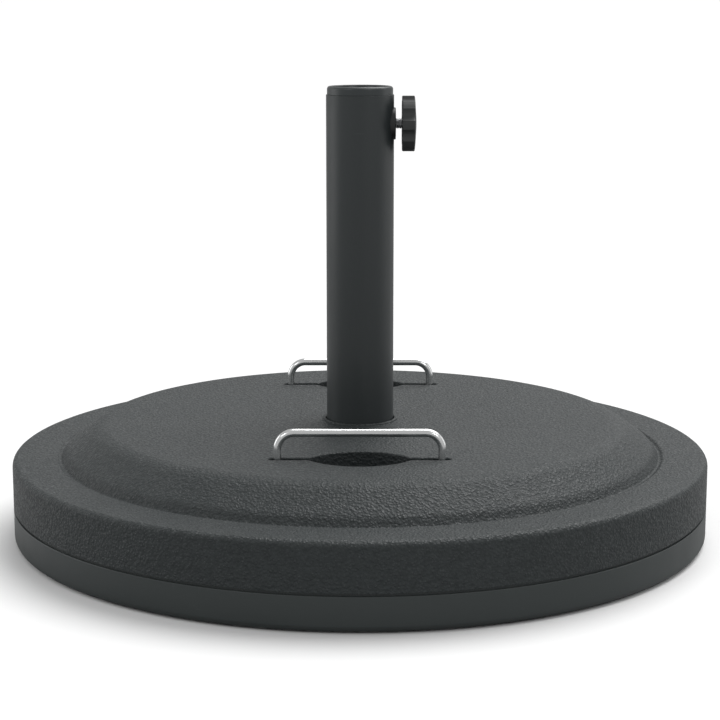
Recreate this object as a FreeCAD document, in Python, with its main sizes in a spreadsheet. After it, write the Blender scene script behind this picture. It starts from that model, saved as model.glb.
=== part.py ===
import FreeCAD, Part
import Sketcher
import math
import os
import re

# Round weighted parasol stand: a two-shell base filled with concrete, an upright steel tube with a
# clamp screw, a drop-in reducer for thinner poles, and two carry handles that sink into the top.
# Millimetres. +Z is up, the origin is the centre of the base on the floor, -Y is the front and the
# clamp knob points along +X.

# ---------------------------------------------------------------- driving dimensions

DIMENSIONS = (
    # overall
    ("base_radius", 270.0),
    ("base_height", 86.3),
    ("stand_height", 345.0),
    # base shells
    ("shell_wall", 4.0),
    ("pan_wall", 4.0),
    ("pan_lift", 1.0),
    ("pan_edge_round", 5.0),
    ("seam_height", 26.1),
    ("seam_gap", 1.8),
    ("seam_depth", 1.9),
    ("tongue_height", 12.0),
    ("tongue_wall", 3.0),
    ("tongue_clearance", 0.3),
    ("lip_width", 34.0),
    ("lip_edge_round", 4.5),
    ("lip_inner_round", 2.5),
    ("top_drop", 23.0),
    ("valley_width", 3.0),
    ("valley_drop", 2.3),
    ("valley_round", 2.0),
    ("slope_low_run", 5.0),
    ("slope_low_rise", 7.5),
    ("slope_round", 15.0),
    ("slope_high_run", 25.0),
    ("shoulder_round", 25.0),
    ("neck_gap", 0.5),
    ("neck_wall", 4.0),
    ("neck_depth", 9.0),
    ("bead_width", 3.0),
    ("bead_height", 1.2),
    ("bead_round", 1.0),
    # underside of the pan
    ("bolt_recess_radius", 34.0),
    ("bolt_recess_depth", 15.0),
    ("panel_recess", 2.0),
    ("panel_inner_width", 22.0),
    ("panel_outer_width", 78.0),
    ("plug_radius", 24.0),
    ("plug_offset", 120.0),
    ("plug_flange", 4.0),
    ("plug_flange_thickness", 2.0),
    ("plug_depth", 12.0),
    ("plug_clearance", 0.2),
    # shell screws
    ("boss_inset", 20.0),
    ("boss_radius", 6.0),
    ("boss_clearance", 0.2),
    ("screw_radius", 2.0),
    ("screw_length", 24.0),
    ("screw_head_radius", 4.0),
    ("screw_head_height", 2.6),
    ("screw_head_recess", 0.6),
    ("screw_hole_clearance", 0.25),
    # rubber feet
    ("foot_radius", 16.0),
    ("foot_inset", 52.0),
    ("foot_seat", 2.0),
    ("foot_clearance", 0.2),
    ("foot_round", 0.8),
    # ballast
    ("cast_gap", 0.2),
    # pole, tube and socket
    ("large_pole_radius", 24.0),
    ("small_pole_radius", 19.0),
    ("pole_clearance", 0.5),
    ("tube_wall", 1.5),
    ("liner_wall", 2.0),
    ("liner_clearance", 0.2),
    ("liner_flange", 5.0),
    ("foot_disc_thickness", 6.0),
    ("foot_disc_clearance", 0.1),
    ("bolt_radius", 6.0),
    ("bolt_hole_clearance", 0.3),
    ("bolt_head_width", 18.0),
    ("bolt_head_height", 7.5),
    ("bolt_tip", 3.0),
    ("bolt_thread_clearance", 0.05),
    ("nut_height", 10.0),
    ("bolt_washer_radius", 30.0),
    ("bolt_washer_thickness", 3.0),
    ("cover_thickness", 2.5),
    ("cover_clearance", 0.2),
    # reducer sleeve
    ("collar_height", 6.5),
    ("collar_step", 0.75),
    ("collar_round", 2.2),
    ("collar_seat_gap", 0.1),
    ("funnel_flare", 2.6),
    ("funnel_depth", 9.0),
    ("sleeve_length", 62.0),
    ("sleeve_clearance", 0.3),
    ("sleeve_slot_clearance", 1.2),
    # clamp
    ("clamp_drop", 21.9),
    ("boss_disc_radius", 12.2),
    ("boss_disc_stand", 1.3),
    ("boss_disc_round", 0.6),
    ("boss_spigot_radius", 7.0),
    ("clamp_screw_radius", 4.0),
    ("clamp_thread_clearance", 0.05),
    ("knob_standoff", 4.8),
    ("knob_radius", 21.6),
    ("knob_thickness", 10.5),
    ("knob_crown", 0.8),
    ("knob_round", 1.2),
    ("flute_radius", 6.0),
    ("flute_depth", 3.2),
    ("knob_head_width", 13.0),
    ("knob_head_height", 5.3),
    ("knob_fit_clearance", 0.05),
    ("knob_cap_radius", 9.5),
    ("knob_cap_thickness", 1.6),
    ("tip_inset", 0.9),
    ("tip_radius", 3.2),
    ("tip_thickness", 2.2),
    ("tip_stem_radius", 1.5),
    ("tip_stem_length", 4.0),
    ("tip_fit_clearance", 0.05),
    # carry handles
    ("handle_inset", 67.5),
    ("handle_width", 118.0),
    ("handle_rise", 19.0),
    ("handle_bend", 12.0),
    ("rod_radius", 3.0),
    ("bar_recess", 0.3),
    ("slot_clearance", 0.6),
    ("slot_end_clearance", 3.5),
    ("slot_depth", 17.0),
    ("well_half_length", 38.5),
    ("well_half_width", 22.5),
    ("well_depth", 24.0),
    ("pocket_wall", 3.0),
    ("pocket_edge_round", 1.2),
    ("leg_hole_clearance", 0.5),
    ("bush_radius", 8.0),
    ("bush_thickness", 6.0),
    ("bush_clearance", 0.35),
    ("guide_wall", 1.5),
    ("guide_floor", 2.0),
    ("guide_foot_gap", 3.0),
    ("leg_foot_gap", 2.0),
    ("stop_length", 8.0),
    ("stop_clearance", 0.5),
    ("stop_end_gap", 0.3),
)

# sizes that follow from the driving dimensions, each as a formula over names above it
DERIVED = (
    ("tube_inner", "large_pole_radius + pole_clearance"),
    ("tube_radius", "tube_inner + tube_wall"),
    ("tube_top", "stand_height - collar_height"),
    ("lip_height", "base_height - top_drop"),
    ("lip_inner_radius", "base_radius - lip_width"),
    ("valley_radius", "lip_inner_radius - valley_width"),
    ("valley_height", "lip_height - valley_drop"),
    ("slope_radius", "valley_radius - slope_low_run"),
    ("slope_height", "valley_height + slope_low_rise"),
    ("plateau_radius", "slope_radius - slope_high_run"),
    ("pan_floor", "pan_lift + pan_wall"),
    ("step_height", "seam_height + seam_gap"),
    ("tongue_radius", "base_radius - shell_wall - tongue_clearance"),
    ("neck_radius", "tube_radius + neck_gap"),
    ("neck_bottom", "base_height - neck_depth"),
    ("recess_ceiling", "pan_lift + bolt_recess_depth"),
    ("socket_floor", "recess_ceiling + pan_wall"),
    ("tube_bottom", "socket_floor + liner_wall"),
    ("liner_radius", "tube_radius + liner_clearance + liner_wall"),
    ("foot_disc_top", "tube_bottom + foot_disc_thickness"),
    ("nut_top", "foot_disc_top + nut_height"),
    ("panel_inner", "bolt_recess_radius + pan_wall + panel_inner_width"),
    ("panel_outer", "base_radius - panel_outer_width"),
    ("boss_circle", "base_radius - boss_inset"),
    ("foot_circle", "base_radius - foot_inset"),
    ("clamp_height", "tube_top - clamp_drop"),
    ("boss_face", "tube_radius + boss_disc_stand"),
    ("knob_face", "boss_face + knob_standoff"),
    ("sleeve_bore", "small_pole_radius + pole_clearance"),
    ("tip_face", "sleeve_bore + tip_inset"),
    ("handle_offset", "plateau_radius - handle_inset"),
    ("leg_offset", "handle_width / 2"),
    ("bar_height", "base_height + handle_rise"),
    ("handle_travel", "handle_rise + rod_radius + bar_recess"),
    ("slot_radius", "rod_radius + slot_clearance"),
    ("slot_half_length", "leg_offset + rod_radius + slot_end_clearance"),
    ("slot_floor", "base_height - slot_depth"),
    ("slot_underside", "slot_floor - pocket_wall"),
    ("well_floor", "base_height - well_depth"),
    ("well_underside", "well_floor - pocket_wall"),
    ("guide_bottom", "pan_floor + guide_foot_gap"),
    ("guide_bore", "bush_radius - guide_wall"),
    ("leg_foot", "guide_bottom + guide_floor + leg_foot_gap + handle_travel"),
    ("bush_bottom", "slot_underside - bush_thickness"),
    ("stop_radius", "guide_bore - stop_clearance"),
    ("stop_top", "bush_bottom - stop_end_gap"),
)

SCREW_ACROSS = "boss_circle * cos(22.5 deg)"
SCREW_RISE = "boss_circle * sin(22.5 deg)"
SHELL_SCREWS = 8
FEET = 4
FLUTES = 8
FRONT = -1
REAR = 1
FULL_TURN = 360.0
HEXAGON_SIDES = 6
SMALLEST_CUT = 0.01
SAME_PLACE = 0.001

doc = FreeCAD.newDocument("ParasolStand")
sheet = doc.addObject("Spreadsheet::Sheet", "Sizes")
NAMES = [name for name, value in DIMENSIONS] + [name for name, formula in DERIVED]
PARTS = []


def bound(formula):
    """Turn bare size names in a formula into references to the sheet."""
    def reference(match):
        word = match.group(0)
        return "Sizes." + word if word in NAMES else word
    return re.sub(r"[a-z][a-z_]*", reference, formula)


def value(formula):
    """The number a formula stands for, in millimetres or degrees."""
    result = sheet.evalExpression(bound(formula))
    return float(getattr(result, "Value", result))


def fill_sheet():
    for row, (name, number) in enumerate(DIMENSIONS, start=1):
        sheet.set("A%d" % row, name)
        sheet.set("B%d" % row, str(number))
        sheet.setAlias("B%d" % row, name)
    first = len(DIMENSIONS) + 1
    for row, (name, formula) in enumerate(DERIVED, start=first):
        sheet.set("A%d" % row, name)
        sheet.set("B%d" % row, "=" + formula)
        sheet.setAlias("B%d" % row, name)
    doc.recompute()


# ---------------------------------------------------------------- sketch and feature helpers


ORIGIN = -1
HORIZONTAL_AXIS = -1
VERTICAL_AXIS = -2
POINT_START = 1
POINT_END = 2
POINT_CENTRE = 3


def new_body(name):
    body = doc.addObject("PartDesign::Body", name)
    body.Label = name
    PARTS.append(body)
    return body


def datum(body, role):
    return next(item for item in body.Origin.OriginFeatures if item.Role == role)


def attach(feature, body, role, across=None, rise=None, lift=None):
    """Set a feature on one of its body's planes, moved across and up in that plane and off it."""
    feature.AttachmentSupport = [(datum(body, role), "")]
    feature.MapMode = "FlatFace"
    for direction, formula in (("x", across), ("y", rise), ("z", lift)):
        if formula:
            feature.setExpression("AttachmentOffset.Base." + direction, bound(formula))


def new_sketch(body, name, role, across=None, rise=None, lift=None):
    sketch = body.newObject("Sketcher::SketchObject", name)
    attach(sketch, body, role, across, rise, lift)
    return sketch


def tie(sketch, kind, formula, *where):
    """Give a sketch one dimension and bind it to the sheet."""
    index = sketch.addConstraint(Sketcher.Constraint(kind, *where, value(formula)))
    sketch.setExpression("Constraints[%d]" % index, bound(formula))


def tie_point(sketch, geometry, end, x, y):
    """Fix a point by its distances from the sketch origin; a zero puts it on the axis."""
    if x == "0":
        sketch.addConstraint(Sketcher.Constraint("PointOnObject", geometry, end, VERTICAL_AXIS))
    else:
        tie(sketch, "DistanceX", x, ORIGIN, POINT_START, geometry, end)
    if y == "0":
        sketch.addConstraint(Sketcher.Constraint("PointOnObject", geometry, end, HORIZONTAL_AXIS))
    else:
        tie(sketch, "DistanceY", y, ORIGIN, POINT_START, geometry, end)


def unit(vector):
    return vector / vector.Length


def outline(sketch, corners, closed=True):
    """Straight edges through (x, y) or (x, y, radius) formulas; a radius rounds that corner."""
    points = [FreeCAD.Vector(value(corner[0]), value(corner[1]), 0) for corner in corners]
    count = len(points)
    starts = list(points)
    ends = list(points)
    arcs = {}
    for index, corner in enumerate(corners):
        if len(corner) < 3:
            continue
        here = points[index]
        back = unit(points[index - 1] - here)
        ahead = unit(points[(index + 1) % count] - here)
        radius = value(corner[2])
        half = back.getAngle(ahead) / 2
        ends[index] = here + back * (radius / math.tan(half))
        starts[index] = here + ahead * (radius / math.tan(half))
        arcs[index] = (here + unit(back + ahead) * (radius / math.sin(half)), radius, back, ahead)
    spans = count if closed else count - 1
    lines = []
    for index in range(spans):
        edge = Part.LineSegment(starts[index], ends[(index + 1) % count])
        lines.append(sketch.addGeometry(edge))
    for index, corner in enumerate(corners):
        if not closed and index == count - 1:
            tie_point(sketch, lines[index - 1], POINT_END, corner[0], corner[1])
            continue
        if not closed and index == 0:
            tie_point(sketch, lines[index], POINT_START, corner[0], corner[1])
            continue
        before = lines[index - 1]
        after = lines[index]
        if index in arcs:
            round_corner(sketch, corner, before, after, ends[index], starts[index], arcs[index])
        else:
            sketch.addConstraint(Sketcher.Constraint("Coincident", before, POINT_END, after, POINT_START))
            tie_point(sketch, after, POINT_START, corner[0], corner[1])
    return lines


def round_corner(sketch, corner, before, after, first, last, arc):
    """Join two edges by an arc tangent to both, and fix the corner where they would have met."""
    centre, radius, back, ahead = arc
    turns_left = ahead.cross(back).z > 0
    begin, finish = (first, last) if turns_left else (last, first)
    near_before, near_after = (POINT_START, POINT_END) if turns_left else (POINT_END, POINT_START)
    start_angle = math.atan2(begin.y - centre.y, begin.x - centre.x)
    end_angle = math.atan2(finish.y - centre.y, finish.x - centre.x)
    circle = Part.Circle(centre, FreeCAD.Vector(0, 0, 1), radius)
    bend = sketch.addGeometry(Part.ArcOfCircle(circle, start_angle, end_angle))
    sketch.addConstraint(Sketcher.Constraint("Tangent", before, POINT_END, bend, near_before))
    sketch.addConstraint(Sketcher.Constraint("Tangent", after, POINT_START, bend, near_after))
    tie(sketch, "Radius", corner[2], bend)
    meeting = FreeCAD.Vector(value(corner[0]), value(corner[1]), 0)
    mark = sketch.addGeometry(Part.Point(meeting), True)
    sketch.addConstraint(Sketcher.Constraint("PointOnObject", mark, POINT_START, before))
    sketch.addConstraint(Sketcher.Constraint("PointOnObject", mark, POINT_START, after))
    tie_point(sketch, mark, POINT_START, corner[0], corner[1])


def circle(sketch, radius, x="0", y="0"):
    place = FreeCAD.Vector(value(x), value(y), 0)
    ring = sketch.addGeometry(Part.Circle(place, FreeCAD.Vector(0, 0, 1), value(radius)))
    tie(sketch, "Radius", radius, ring)
    tie_point(sketch, ring, POINT_CENTRE, x, y)


def rounded_slot(sketch, half_length, radius):
    """A straight slot along x with round ends."""
    reach = value(half_length) - value(radius)
    width = value(radius)
    up = FreeCAD.Vector(0, 0, 1)
    right = Part.Circle(FreeCAD.Vector(reach, 0, 0), up, width)
    left = Part.Circle(FreeCAD.Vector(-reach, 0, 0), up, width)
    quarter = math.pi / 2
    right_end = sketch.addGeometry(Part.ArcOfCircle(right, -quarter, quarter))
    left_end = sketch.addGeometry(Part.ArcOfCircle(left, quarter, 3 * quarter))
    above = Part.LineSegment(FreeCAD.Vector(reach, width, 0), FreeCAD.Vector(-reach, width, 0))
    below = Part.LineSegment(FreeCAD.Vector(-reach, -width, 0), FreeCAD.Vector(reach, -width, 0))
    top = sketch.addGeometry(above)
    bottom = sketch.addGeometry(below)
    sketch.addConstraint(Sketcher.Constraint("Tangent", right_end, POINT_END, top, POINT_START))
    sketch.addConstraint(Sketcher.Constraint("Tangent", top, POINT_END, left_end, POINT_START))
    sketch.addConstraint(Sketcher.Constraint("Tangent", left_end, POINT_END, bottom, POINT_START))
    sketch.addConstraint(Sketcher.Constraint("Tangent", bottom, POINT_END, right_end, POINT_START))
    tie(sketch, "Radius", radius, right_end)
    tie_point(sketch, right_end, POINT_CENTRE, "%s - %s" % (half_length, radius), "0")
    tie_point(sketch, left_end, POINT_CENTRE, "-(%s - %s)" % (half_length, radius), "0")


def lens(sketch, half_length, half_width):
    """Two equal arcs that meet in a point at each end, long way along x."""
    reach = value(half_length)
    width = value(half_width)
    sweep = "((%s)^2 + (%s)^2) / (2 * (%s))" % (half_length, half_width, half_width)
    radius = value(sweep)
    half = math.asin(reach / radius)
    quarter = math.pi / 2
    ends = []
    for side in (1, -1):
        centre = FreeCAD.Vector(0, side * (width - radius), 0)
        middle = side * quarter
        arc = Part.ArcOfCircle(Part.Circle(centre, FreeCAD.Vector(0, 0, 1), radius), middle - half, middle + half)
        edge = sketch.addGeometry(arc)
        tie(sketch, "Radius", sweep, edge)
        ends.append(edge)
    upper, lower = ends
    tie_point(sketch, upper, POINT_START, half_length, "0")
    tie_point(sketch, upper, POINT_END, "-(%s)" % half_length, "0")
    sketch.addConstraint(Sketcher.Constraint("Coincident", upper, POINT_START, lower, POINT_END))
    sketch.addConstraint(Sketcher.Constraint("Coincident", upper, POINT_END, lower, POINT_START))


def grown(formula, growth):
    return "%s + %s" % (formula, growth)


def turn(body, name, corners, across=None, rise=None, lift=None, axis="V_Axis"):
    """Add a solid of revolution. V_Axis turns about the upright, H_Axis about the level line."""
    sketch = new_sketch(body, name + "_section", "XZ_Plane", across, rise, lift)
    outline(sketch, corners)
    solid = body.newObject("PartDesign::Revolution", name)
    solid.Profile = sketch
    solid.ReferenceAxis = (sketch, [axis])
    solid.Angle = FULL_TURN
    doc.recompute()
    return solid


def turned(name, corners, **place):
    """A sub-part that is one solid of revolution."""
    body = new_body(name)
    turn(body, name + "_turned", corners, **place)
    return body


def block(inner, outer, bottom, top):
    """The four corners of a plain ring section."""
    return [(inner, bottom), (outer, bottom), (outer, top), (inner, top)]


def drill(body, name, radius, depth, role="XY_Plane", **place):
    """Cut a round hole that starts at the placed plane and runs along its normal."""
    before = body.Shape.Volume
    hole = body.newObject("PartDesign::SubtractiveCylinder", name)
    attach(hole, body, role, **place)
    hole.setExpression("Radius", bound(radius))
    hole.setExpression("Height", bound(depth))
    doc.recompute()
    must_change(name, before, body.Shape.Volume)
    return hole


def hexagon(body, name, kind, width, length, role="XY_Plane", **place):
    """Add or cut a hexagonal prism, given its width across the flats."""
    prism = body.newObject("PartDesign::%sPrism" % kind, name)
    attach(prism, body, role, **place)
    prism.Polygon = HEXAGON_SIDES
    prism.setExpression("Circumradius", bound("(%s) / 2 / cos(30 deg)" % width))
    prism.setExpression("Height", bound(length))
    doc.recompute()
    return prism


def pocket(body, name, draw, depth, **place):
    """Sink an outline downwards from its plane."""
    before = body.Shape.Volume
    sketch = new_sketch(body, name + "_outline", "XY_Plane", **place)
    draw(sketch)
    cut = body.newObject("PartDesign::Pocket", name)
    cut.Profile = sketch
    cut.setExpression("Length", bound(depth))
    doc.recompute()
    must_change(name, before, body.Shape.Volume)
    return cut


def pad(body, name, draw, length, **place):
    sketch = new_sketch(body, name + "_outline", "XY_Plane", **place)
    draw(sketch)
    solid = body.newObject("PartDesign::Pad", name)
    solid.Profile = sketch
    solid.setExpression("Length", bound(length))
    doc.recompute()
    return solid


def must_change(name, before, after):
    if abs(before - after) < SMALLEST_CUT:
        raise ValueError("%s cuts nothing" % name)


def around(body, name, features, count):
    """Repeat features evenly about the upright axis."""
    pattern = body.newObject("PartDesign::PolarPattern", name)
    pattern.Originals = features
    pattern.Axis = (datum(body, "Z_Axis"), [""])
    pattern.Angle = FULL_TURN
    pattern.Occurrences = count
    body.Tip = pattern
    doc.recompute()
    return pattern


def four_ways(body, name, features):
    """Repeat features left and right, then front and rear."""
    pattern = body.newObject("PartDesign::MultiTransform", name)
    pattern.Originals = features
    sideways = body.newObject("PartDesign::Mirrored", name + "_sideways")
    sideways.MirrorPlane = (datum(body, "YZ_Plane"), [""])
    rearward = body.newObject("PartDesign::Mirrored", name + "_rearward")
    rearward.MirrorPlane = (datum(body, "XZ_Plane"), [""])
    pattern.Transformations = [sideways, rearward]
    body.Tip = pattern
    doc.recompute()
    return pattern


def mirrored(body, name, features, role):
    copy = body.newObject("PartDesign::Mirrored", name)
    copy.Originals = features
    copy.MirrorPlane = (datum(body, role), [""])
    body.Tip = copy
    doc.recompute()
    return copy


def soften(body, name, radius, choose):
    """Round every edge that the rule picks on the body as it stands."""
    base = body.Tip
    picked = ["Edge%d" % number for number, edge in enumerate(base.Shape.Edges, start=1) if choose(edge)]
    fillet = body.newObject("PartDesign::Fillet", name)
    fillet.Base = (base, picked)
    fillet.setExpression("Radius", bound(radius))
    doc.recompute()
    return fillet


def lies_at_height(edge, height):
    box = edge.BoundBox
    return abs(box.ZMin - height) < SAME_PLACE and abs(box.ZMax - height) < SAME_PLACE


# ---------------------------------------------------------------- base shells and ballast


def base_pan():
    """Smooth lower shell, with an upstand inside the cover and a recess for the tube bolt."""
    tongue_inner = "tongue_radius - tongue_wall"
    body = turned("bottom_pan", [
        ("bolt_radius + bolt_hole_clearance", "recess_ceiling"),
        ("bolt_recess_radius", "recess_ceiling"),
        ("bolt_recess_radius", "pan_lift"),
        ("panel_inner", "pan_lift"),
        ("panel_inner", "pan_lift + panel_recess"),
        ("panel_outer", "pan_lift + panel_recess"),
        ("panel_outer", "pan_lift"),
        ("base_radius", "pan_lift", "pan_edge_round"),
        ("base_radius", "seam_height"),
        ("base_radius - seam_depth", "seam_height"),
        ("base_radius - seam_depth", "step_height"),
        ("tongue_radius", "step_height"),
        ("tongue_radius", "step_height + tongue_height"),
        (tongue_inner, "step_height + tongue_height"),
        (tongue_inner, "pan_floor"),
        ("bolt_recess_radius + pan_wall", "pan_floor"),
        ("bolt_recess_radius + pan_wall", "socket_floor"),
        ("bolt_radius + bolt_hole_clearance", "socket_floor"),
    ])
    # screw holes with a shallow recess for each head
    place = {"across": SCREW_ACROSS, "rise": SCREW_RISE}
    hole = drill(body, "screw_hole", "screw_radius + screw_hole_clearance", "pan_floor", **place)
    seat = drill(body, "screw_seat", "screw_head_radius + screw_hole_clearance",
                 "pan_lift + screw_head_recess + screw_head_height", **place)
    around(body, "screw_holes", [hole, seat], SHELL_SCREWS)
    # seats for the rubber feet, halfway between screws
    spread = "foot_circle * cos(45 deg)"
    foot = drill(body, "foot_seat", "foot_radius + foot_clearance", "pan_lift + foot_seat",
                 across=spread, rise=spread)
    around(body, "foot_seats", [foot], FEET)
    # filling hole and the counterbore for the plug's flange
    drill(body, "fill_hole", "plug_radius + plug_clearance", "pan_floor + pan_wall",
          across="-plug_offset")
    drill(body, "fill_seat", "plug_radius + plug_flange + plug_clearance",
          "pan_lift + panel_recess + plug_flange_thickness", across="-plug_offset")
    return body


def pocket_place(side):
    """Where a handle's pocket sits in plan."""
    return "%d * handle_offset" % side


def handle_pocket_housing(body, tag, side, growth, top, length_slot, length_well):
    """The box that a handle's slot and finger well are sunk into, as seen from below."""
    pad(body, tag + "_slot_housing",
        lambda sketch: rounded_slot(sketch, grown("slot_half_length", growth), grown("slot_radius", growth)),
        length_slot, rise=pocket_place(side), lift="%s - (%s)" % (top, length_slot))
    pad(body, tag + "_well_housing",
        lambda sketch: lens(sketch, grown("well_half_length", growth), grown("well_half_width", growth)),
        length_well, rise=pocket_place(side), lift="%s - (%s)" % (top, length_well))


def base_cover():
    """Grained upper shell: beaded neck, plateau, rounded shoulder, flat lip and two handle pockets."""
    under = "base_height - shell_wall"
    inner = "base_radius - shell_wall"
    body = turned("top_shell", [
        ("neck_radius", "neck_bottom"),
        ("neck_radius + neck_wall", "neck_bottom"),
        ("neck_radius + neck_wall", under),
        ("plateau_radius - shell_wall / 2", under, "shoulder_round - shell_wall"),
        ("slope_radius - shell_wall", "slope_height - shell_wall / 2"),
        ("valley_radius - shell_wall", "valley_height - shell_wall"),
        ("lip_inner_radius", "lip_height - shell_wall"),
        (inner, "lip_height - shell_wall"),
        (inner, "step_height"),
        ("base_radius", "step_height"),
        ("base_radius", "lip_height", "lip_edge_round"),
        ("lip_inner_radius", "lip_height", "lip_inner_round"),
        ("valley_radius", "valley_height", "valley_round"),
        ("slope_radius", "slope_height", "slope_round"),
        ("plateau_radius", "base_height", "shoulder_round"),
        ("neck_radius + bead_width", "base_height"),
        ("neck_radius + bead_width", "base_height + bead_height", "bead_round"),
        ("neck_radius", "base_height + bead_height", "bead_round"),
    ])
    for tag, side in (("front", FRONT), ("rear", REAR)):
        handle_pocket_housing(body, tag, side, "pocket_wall", "base_height - shell_wall / 2",
                              "slot_depth + pocket_wall - shell_wall / 2",
                              "well_depth + pocket_wall - shell_wall / 2")
        pocket(body, tag + "_slot", lambda sketch: rounded_slot(sketch, "slot_half_length", "slot_radius"),
               "slot_depth", rise=pocket_place(side), lift="base_height")
        pocket(body, tag + "_well", lambda sketch: lens(sketch, "well_half_length", "well_half_width"),
               "well_depth", rise=pocket_place(side), lift="base_height")
        for end in (1, -1):
            drill(body, "%s_leg_hole_%s" % (tag, "right" if end > 0 else "left"),
                  "rod_radius + leg_hole_clearance", "2 * pocket_wall",
                  across="%d * leg_offset" % end, rise=pocket_place(side),
                  lift="slot_underside - pocket_wall / 2")
    soften(body, "pocket_edges", "pocket_edge_round", is_pocket_mouth)
    # hollow bosses that the shell screws bite into
    boss = body.newObject("PartDesign::AdditiveCylinder", "screw_boss")
    attach(boss, body, "XY_Plane", across=SCREW_ACROSS, rise=SCREW_RISE, lift="pan_floor")
    boss.setExpression("Radius", bound("boss_radius"))
    boss.setExpression("Height", bound("lip_height - shell_wall / 2 - pan_floor"))
    doc.recompute()
    around(body, "screw_bosses", [boss], SHELL_SCREWS)
    pilot = drill(body, "screw_pilot", "screw_radius + bolt_thread_clearance", "screw_length",
                  across=SCREW_ACROSS, rise=SCREW_RISE, lift="pan_floor")
    around(body, "screw_pilots", [pilot], SHELL_SCREWS)
    return body


def is_pocket_mouth(edge):
    """Edges round the handle pockets in the top face, but not the rings about the middle."""
    if not lies_at_height(edge, value("base_height")):
        return False
    return abs(edge.BoundBox.Center.y) > value("neck_radius + bead_width")


def concrete_ballast():
    """The poured filling. It takes the shape of everything around it, less a little shrinkage."""
    body = new_body("concrete_ballast")
    outer = "tongue_radius - tongue_wall - cast_gap"
    over_tongue = "step_height + tongue_height + cast_gap"
    cover_wall = "base_radius - shell_wall - cast_gap"
    well_wall = "liner_radius + cast_gap"
    neck_wall = "liner_radius + liner_flange + cast_gap"
    recess_wall = "bolt_recess_radius + pan_wall + cast_gap"
    under = "base_height - shell_wall - cast_gap"
    turn(body, "casting", [
        (recess_wall, "pan_floor + cast_gap"),
        (outer, "pan_floor + cast_gap"),
        (outer, over_tongue),
        (cover_wall, over_tongue),
        (cover_wall, "lip_height - shell_wall - cast_gap"),
        ("lip_inner_radius + cast_gap", "lip_height - shell_wall - cast_gap"),
        ("valley_radius - shell_wall", "valley_height - shell_wall - cast_gap"),
        ("valley_radius - shell_wall - cast_gap", "valley_height - shell_wall - cast_gap"),
        ("slope_radius - shell_wall - cast_gap", "slope_height - shell_wall / 2 - cast_gap"),
        ("plateau_radius - shell_wall", under, "shoulder_round - shell_wall"),
        (neck_wall, under),
        (neck_wall, "neck_bottom - liner_wall - cast_gap"),
        (well_wall, "neck_bottom - liner_wall - cast_gap"),
        (well_wall, "socket_floor + cast_gap"),
        (recess_wall, "socket_floor + cast_gap"),
    ])
    growth = "pocket_wall + cast_gap"
    for tag, side in (("front", FRONT), ("rear", REAR)):
        place = {"rise": pocket_place(side), "lift": "base_height"}
        pocket(body, tag + "_slot_room",
               lambda sketch: rounded_slot(sketch, grown("slot_half_length", growth), grown("slot_radius", growth)),
               "slot_depth + " + growth, **place)
        pocket(body, tag + "_well_room",
               lambda sketch: lens(sketch, grown("well_half_length", growth), grown("well_half_width", growth)),
               "well_depth + " + growth, **place)
    guide = drill(body, "guide_room", "bush_radius + cast_gap", "base_height",
                  across="leg_offset", rise="handle_offset", lift="guide_bottom - cast_gap")
    four_ways(body, "guide_rooms", [guide])
    boss = drill(body, "boss_room", "boss_radius + boss_clearance", "base_height",
                 across=SCREW_ACROSS, rise=SCREW_RISE)
    around(body, "boss_rooms", [boss], SHELL_SCREWS)
    drill(body, "plug_room", "plug_radius + cast_gap", "pan_lift + plug_depth", across="-plug_offset")
    return body


def fill_plug():
    """Push-in cap that closes the hole the concrete is poured through."""
    face = "pan_lift + panel_recess"
    return turned("fill_plug", [
        ("0", face),
        ("plug_radius + plug_flange", face),
        ("plug_radius + plug_flange", face + " + plug_flange_thickness"),
        ("plug_radius", face + " + plug_flange_thickness"),
        ("plug_radius", "plug_depth"),
        ("0", "plug_depth"),
    ], across="-plug_offset")


def rubber_feet():
    body = new_body("rubber_feet")
    corners = [
        ("0", "0"),
        ("foot_radius", "0", "foot_round"),
        ("foot_radius", "pan_lift + foot_seat"),
        ("0", "pan_lift + foot_seat"),
    ]
    spread = "foot_circle * cos(45 deg)"
    foot = turn(body, "rubber_foot", corners, across=spread, lift="-(%s)" % spread)
    around(body, "rubber_feet_ring", [foot], FEET)
    return body


def shell_screws():
    """Self-tapping screws that hold the pan to the cover from below."""
    body = new_body("shell_screws")
    seat = "pan_lift + screw_head_recess"
    screw = turn(body, "shell_screw", [
        ("0", seat),
        ("screw_head_radius", seat, "screw_head_recess"),
        ("screw_head_radius", seat + " + screw_head_height"),
        ("screw_radius", seat + " + screw_head_height"),
        ("screw_radius", "screw_length"),
        ("0", "screw_length"),
    ], across=SCREW_ACROSS, lift="-(%s)" % SCREW_RISE)
    around(body, "shell_screw_ring", [screw], SHELL_SCREWS)
    return body


# ---------------------------------------------------------------- upright tube and its fixing


def tube_liner():
    """Plastic pocket cast into the concrete, which the tube stands in."""
    bore = "tube_radius + liner_clearance"
    return turned("tube_liner", [
        ("bolt_radius + bolt_hole_clearance", "socket_floor"),
        ("liner_radius", "socket_floor"),
        ("liner_radius", "neck_bottom - liner_wall"),
        ("liner_radius + liner_flange", "neck_bottom - liner_wall"),
        ("liner_radius + liner_flange", "neck_bottom"),
        (bore, "neck_bottom"),
        (bore, "tube_bottom"),
        ("bolt_radius + bolt_hole_clearance", "tube_bottom"),
    ])


def pole_tube():
    body = turned("pole_tube", block("tube_inner", "tube_radius", "tube_bottom", "tube_top"))
    drill(body, "clamp_window", "boss_spigot_radius", "tube_radius + tube_wall", role="YZ_Plane",
          rise="clamp_height")
    return body


def tube_foot_disc():
    """Steel disc welded inside the foot of the tube."""
    return turned("tube_foot_disc", block("bolt_radius + bolt_hole_clearance",
                                          "tube_inner - foot_disc_clearance",
                                          "tube_bottom", "foot_disc_top"))


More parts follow.
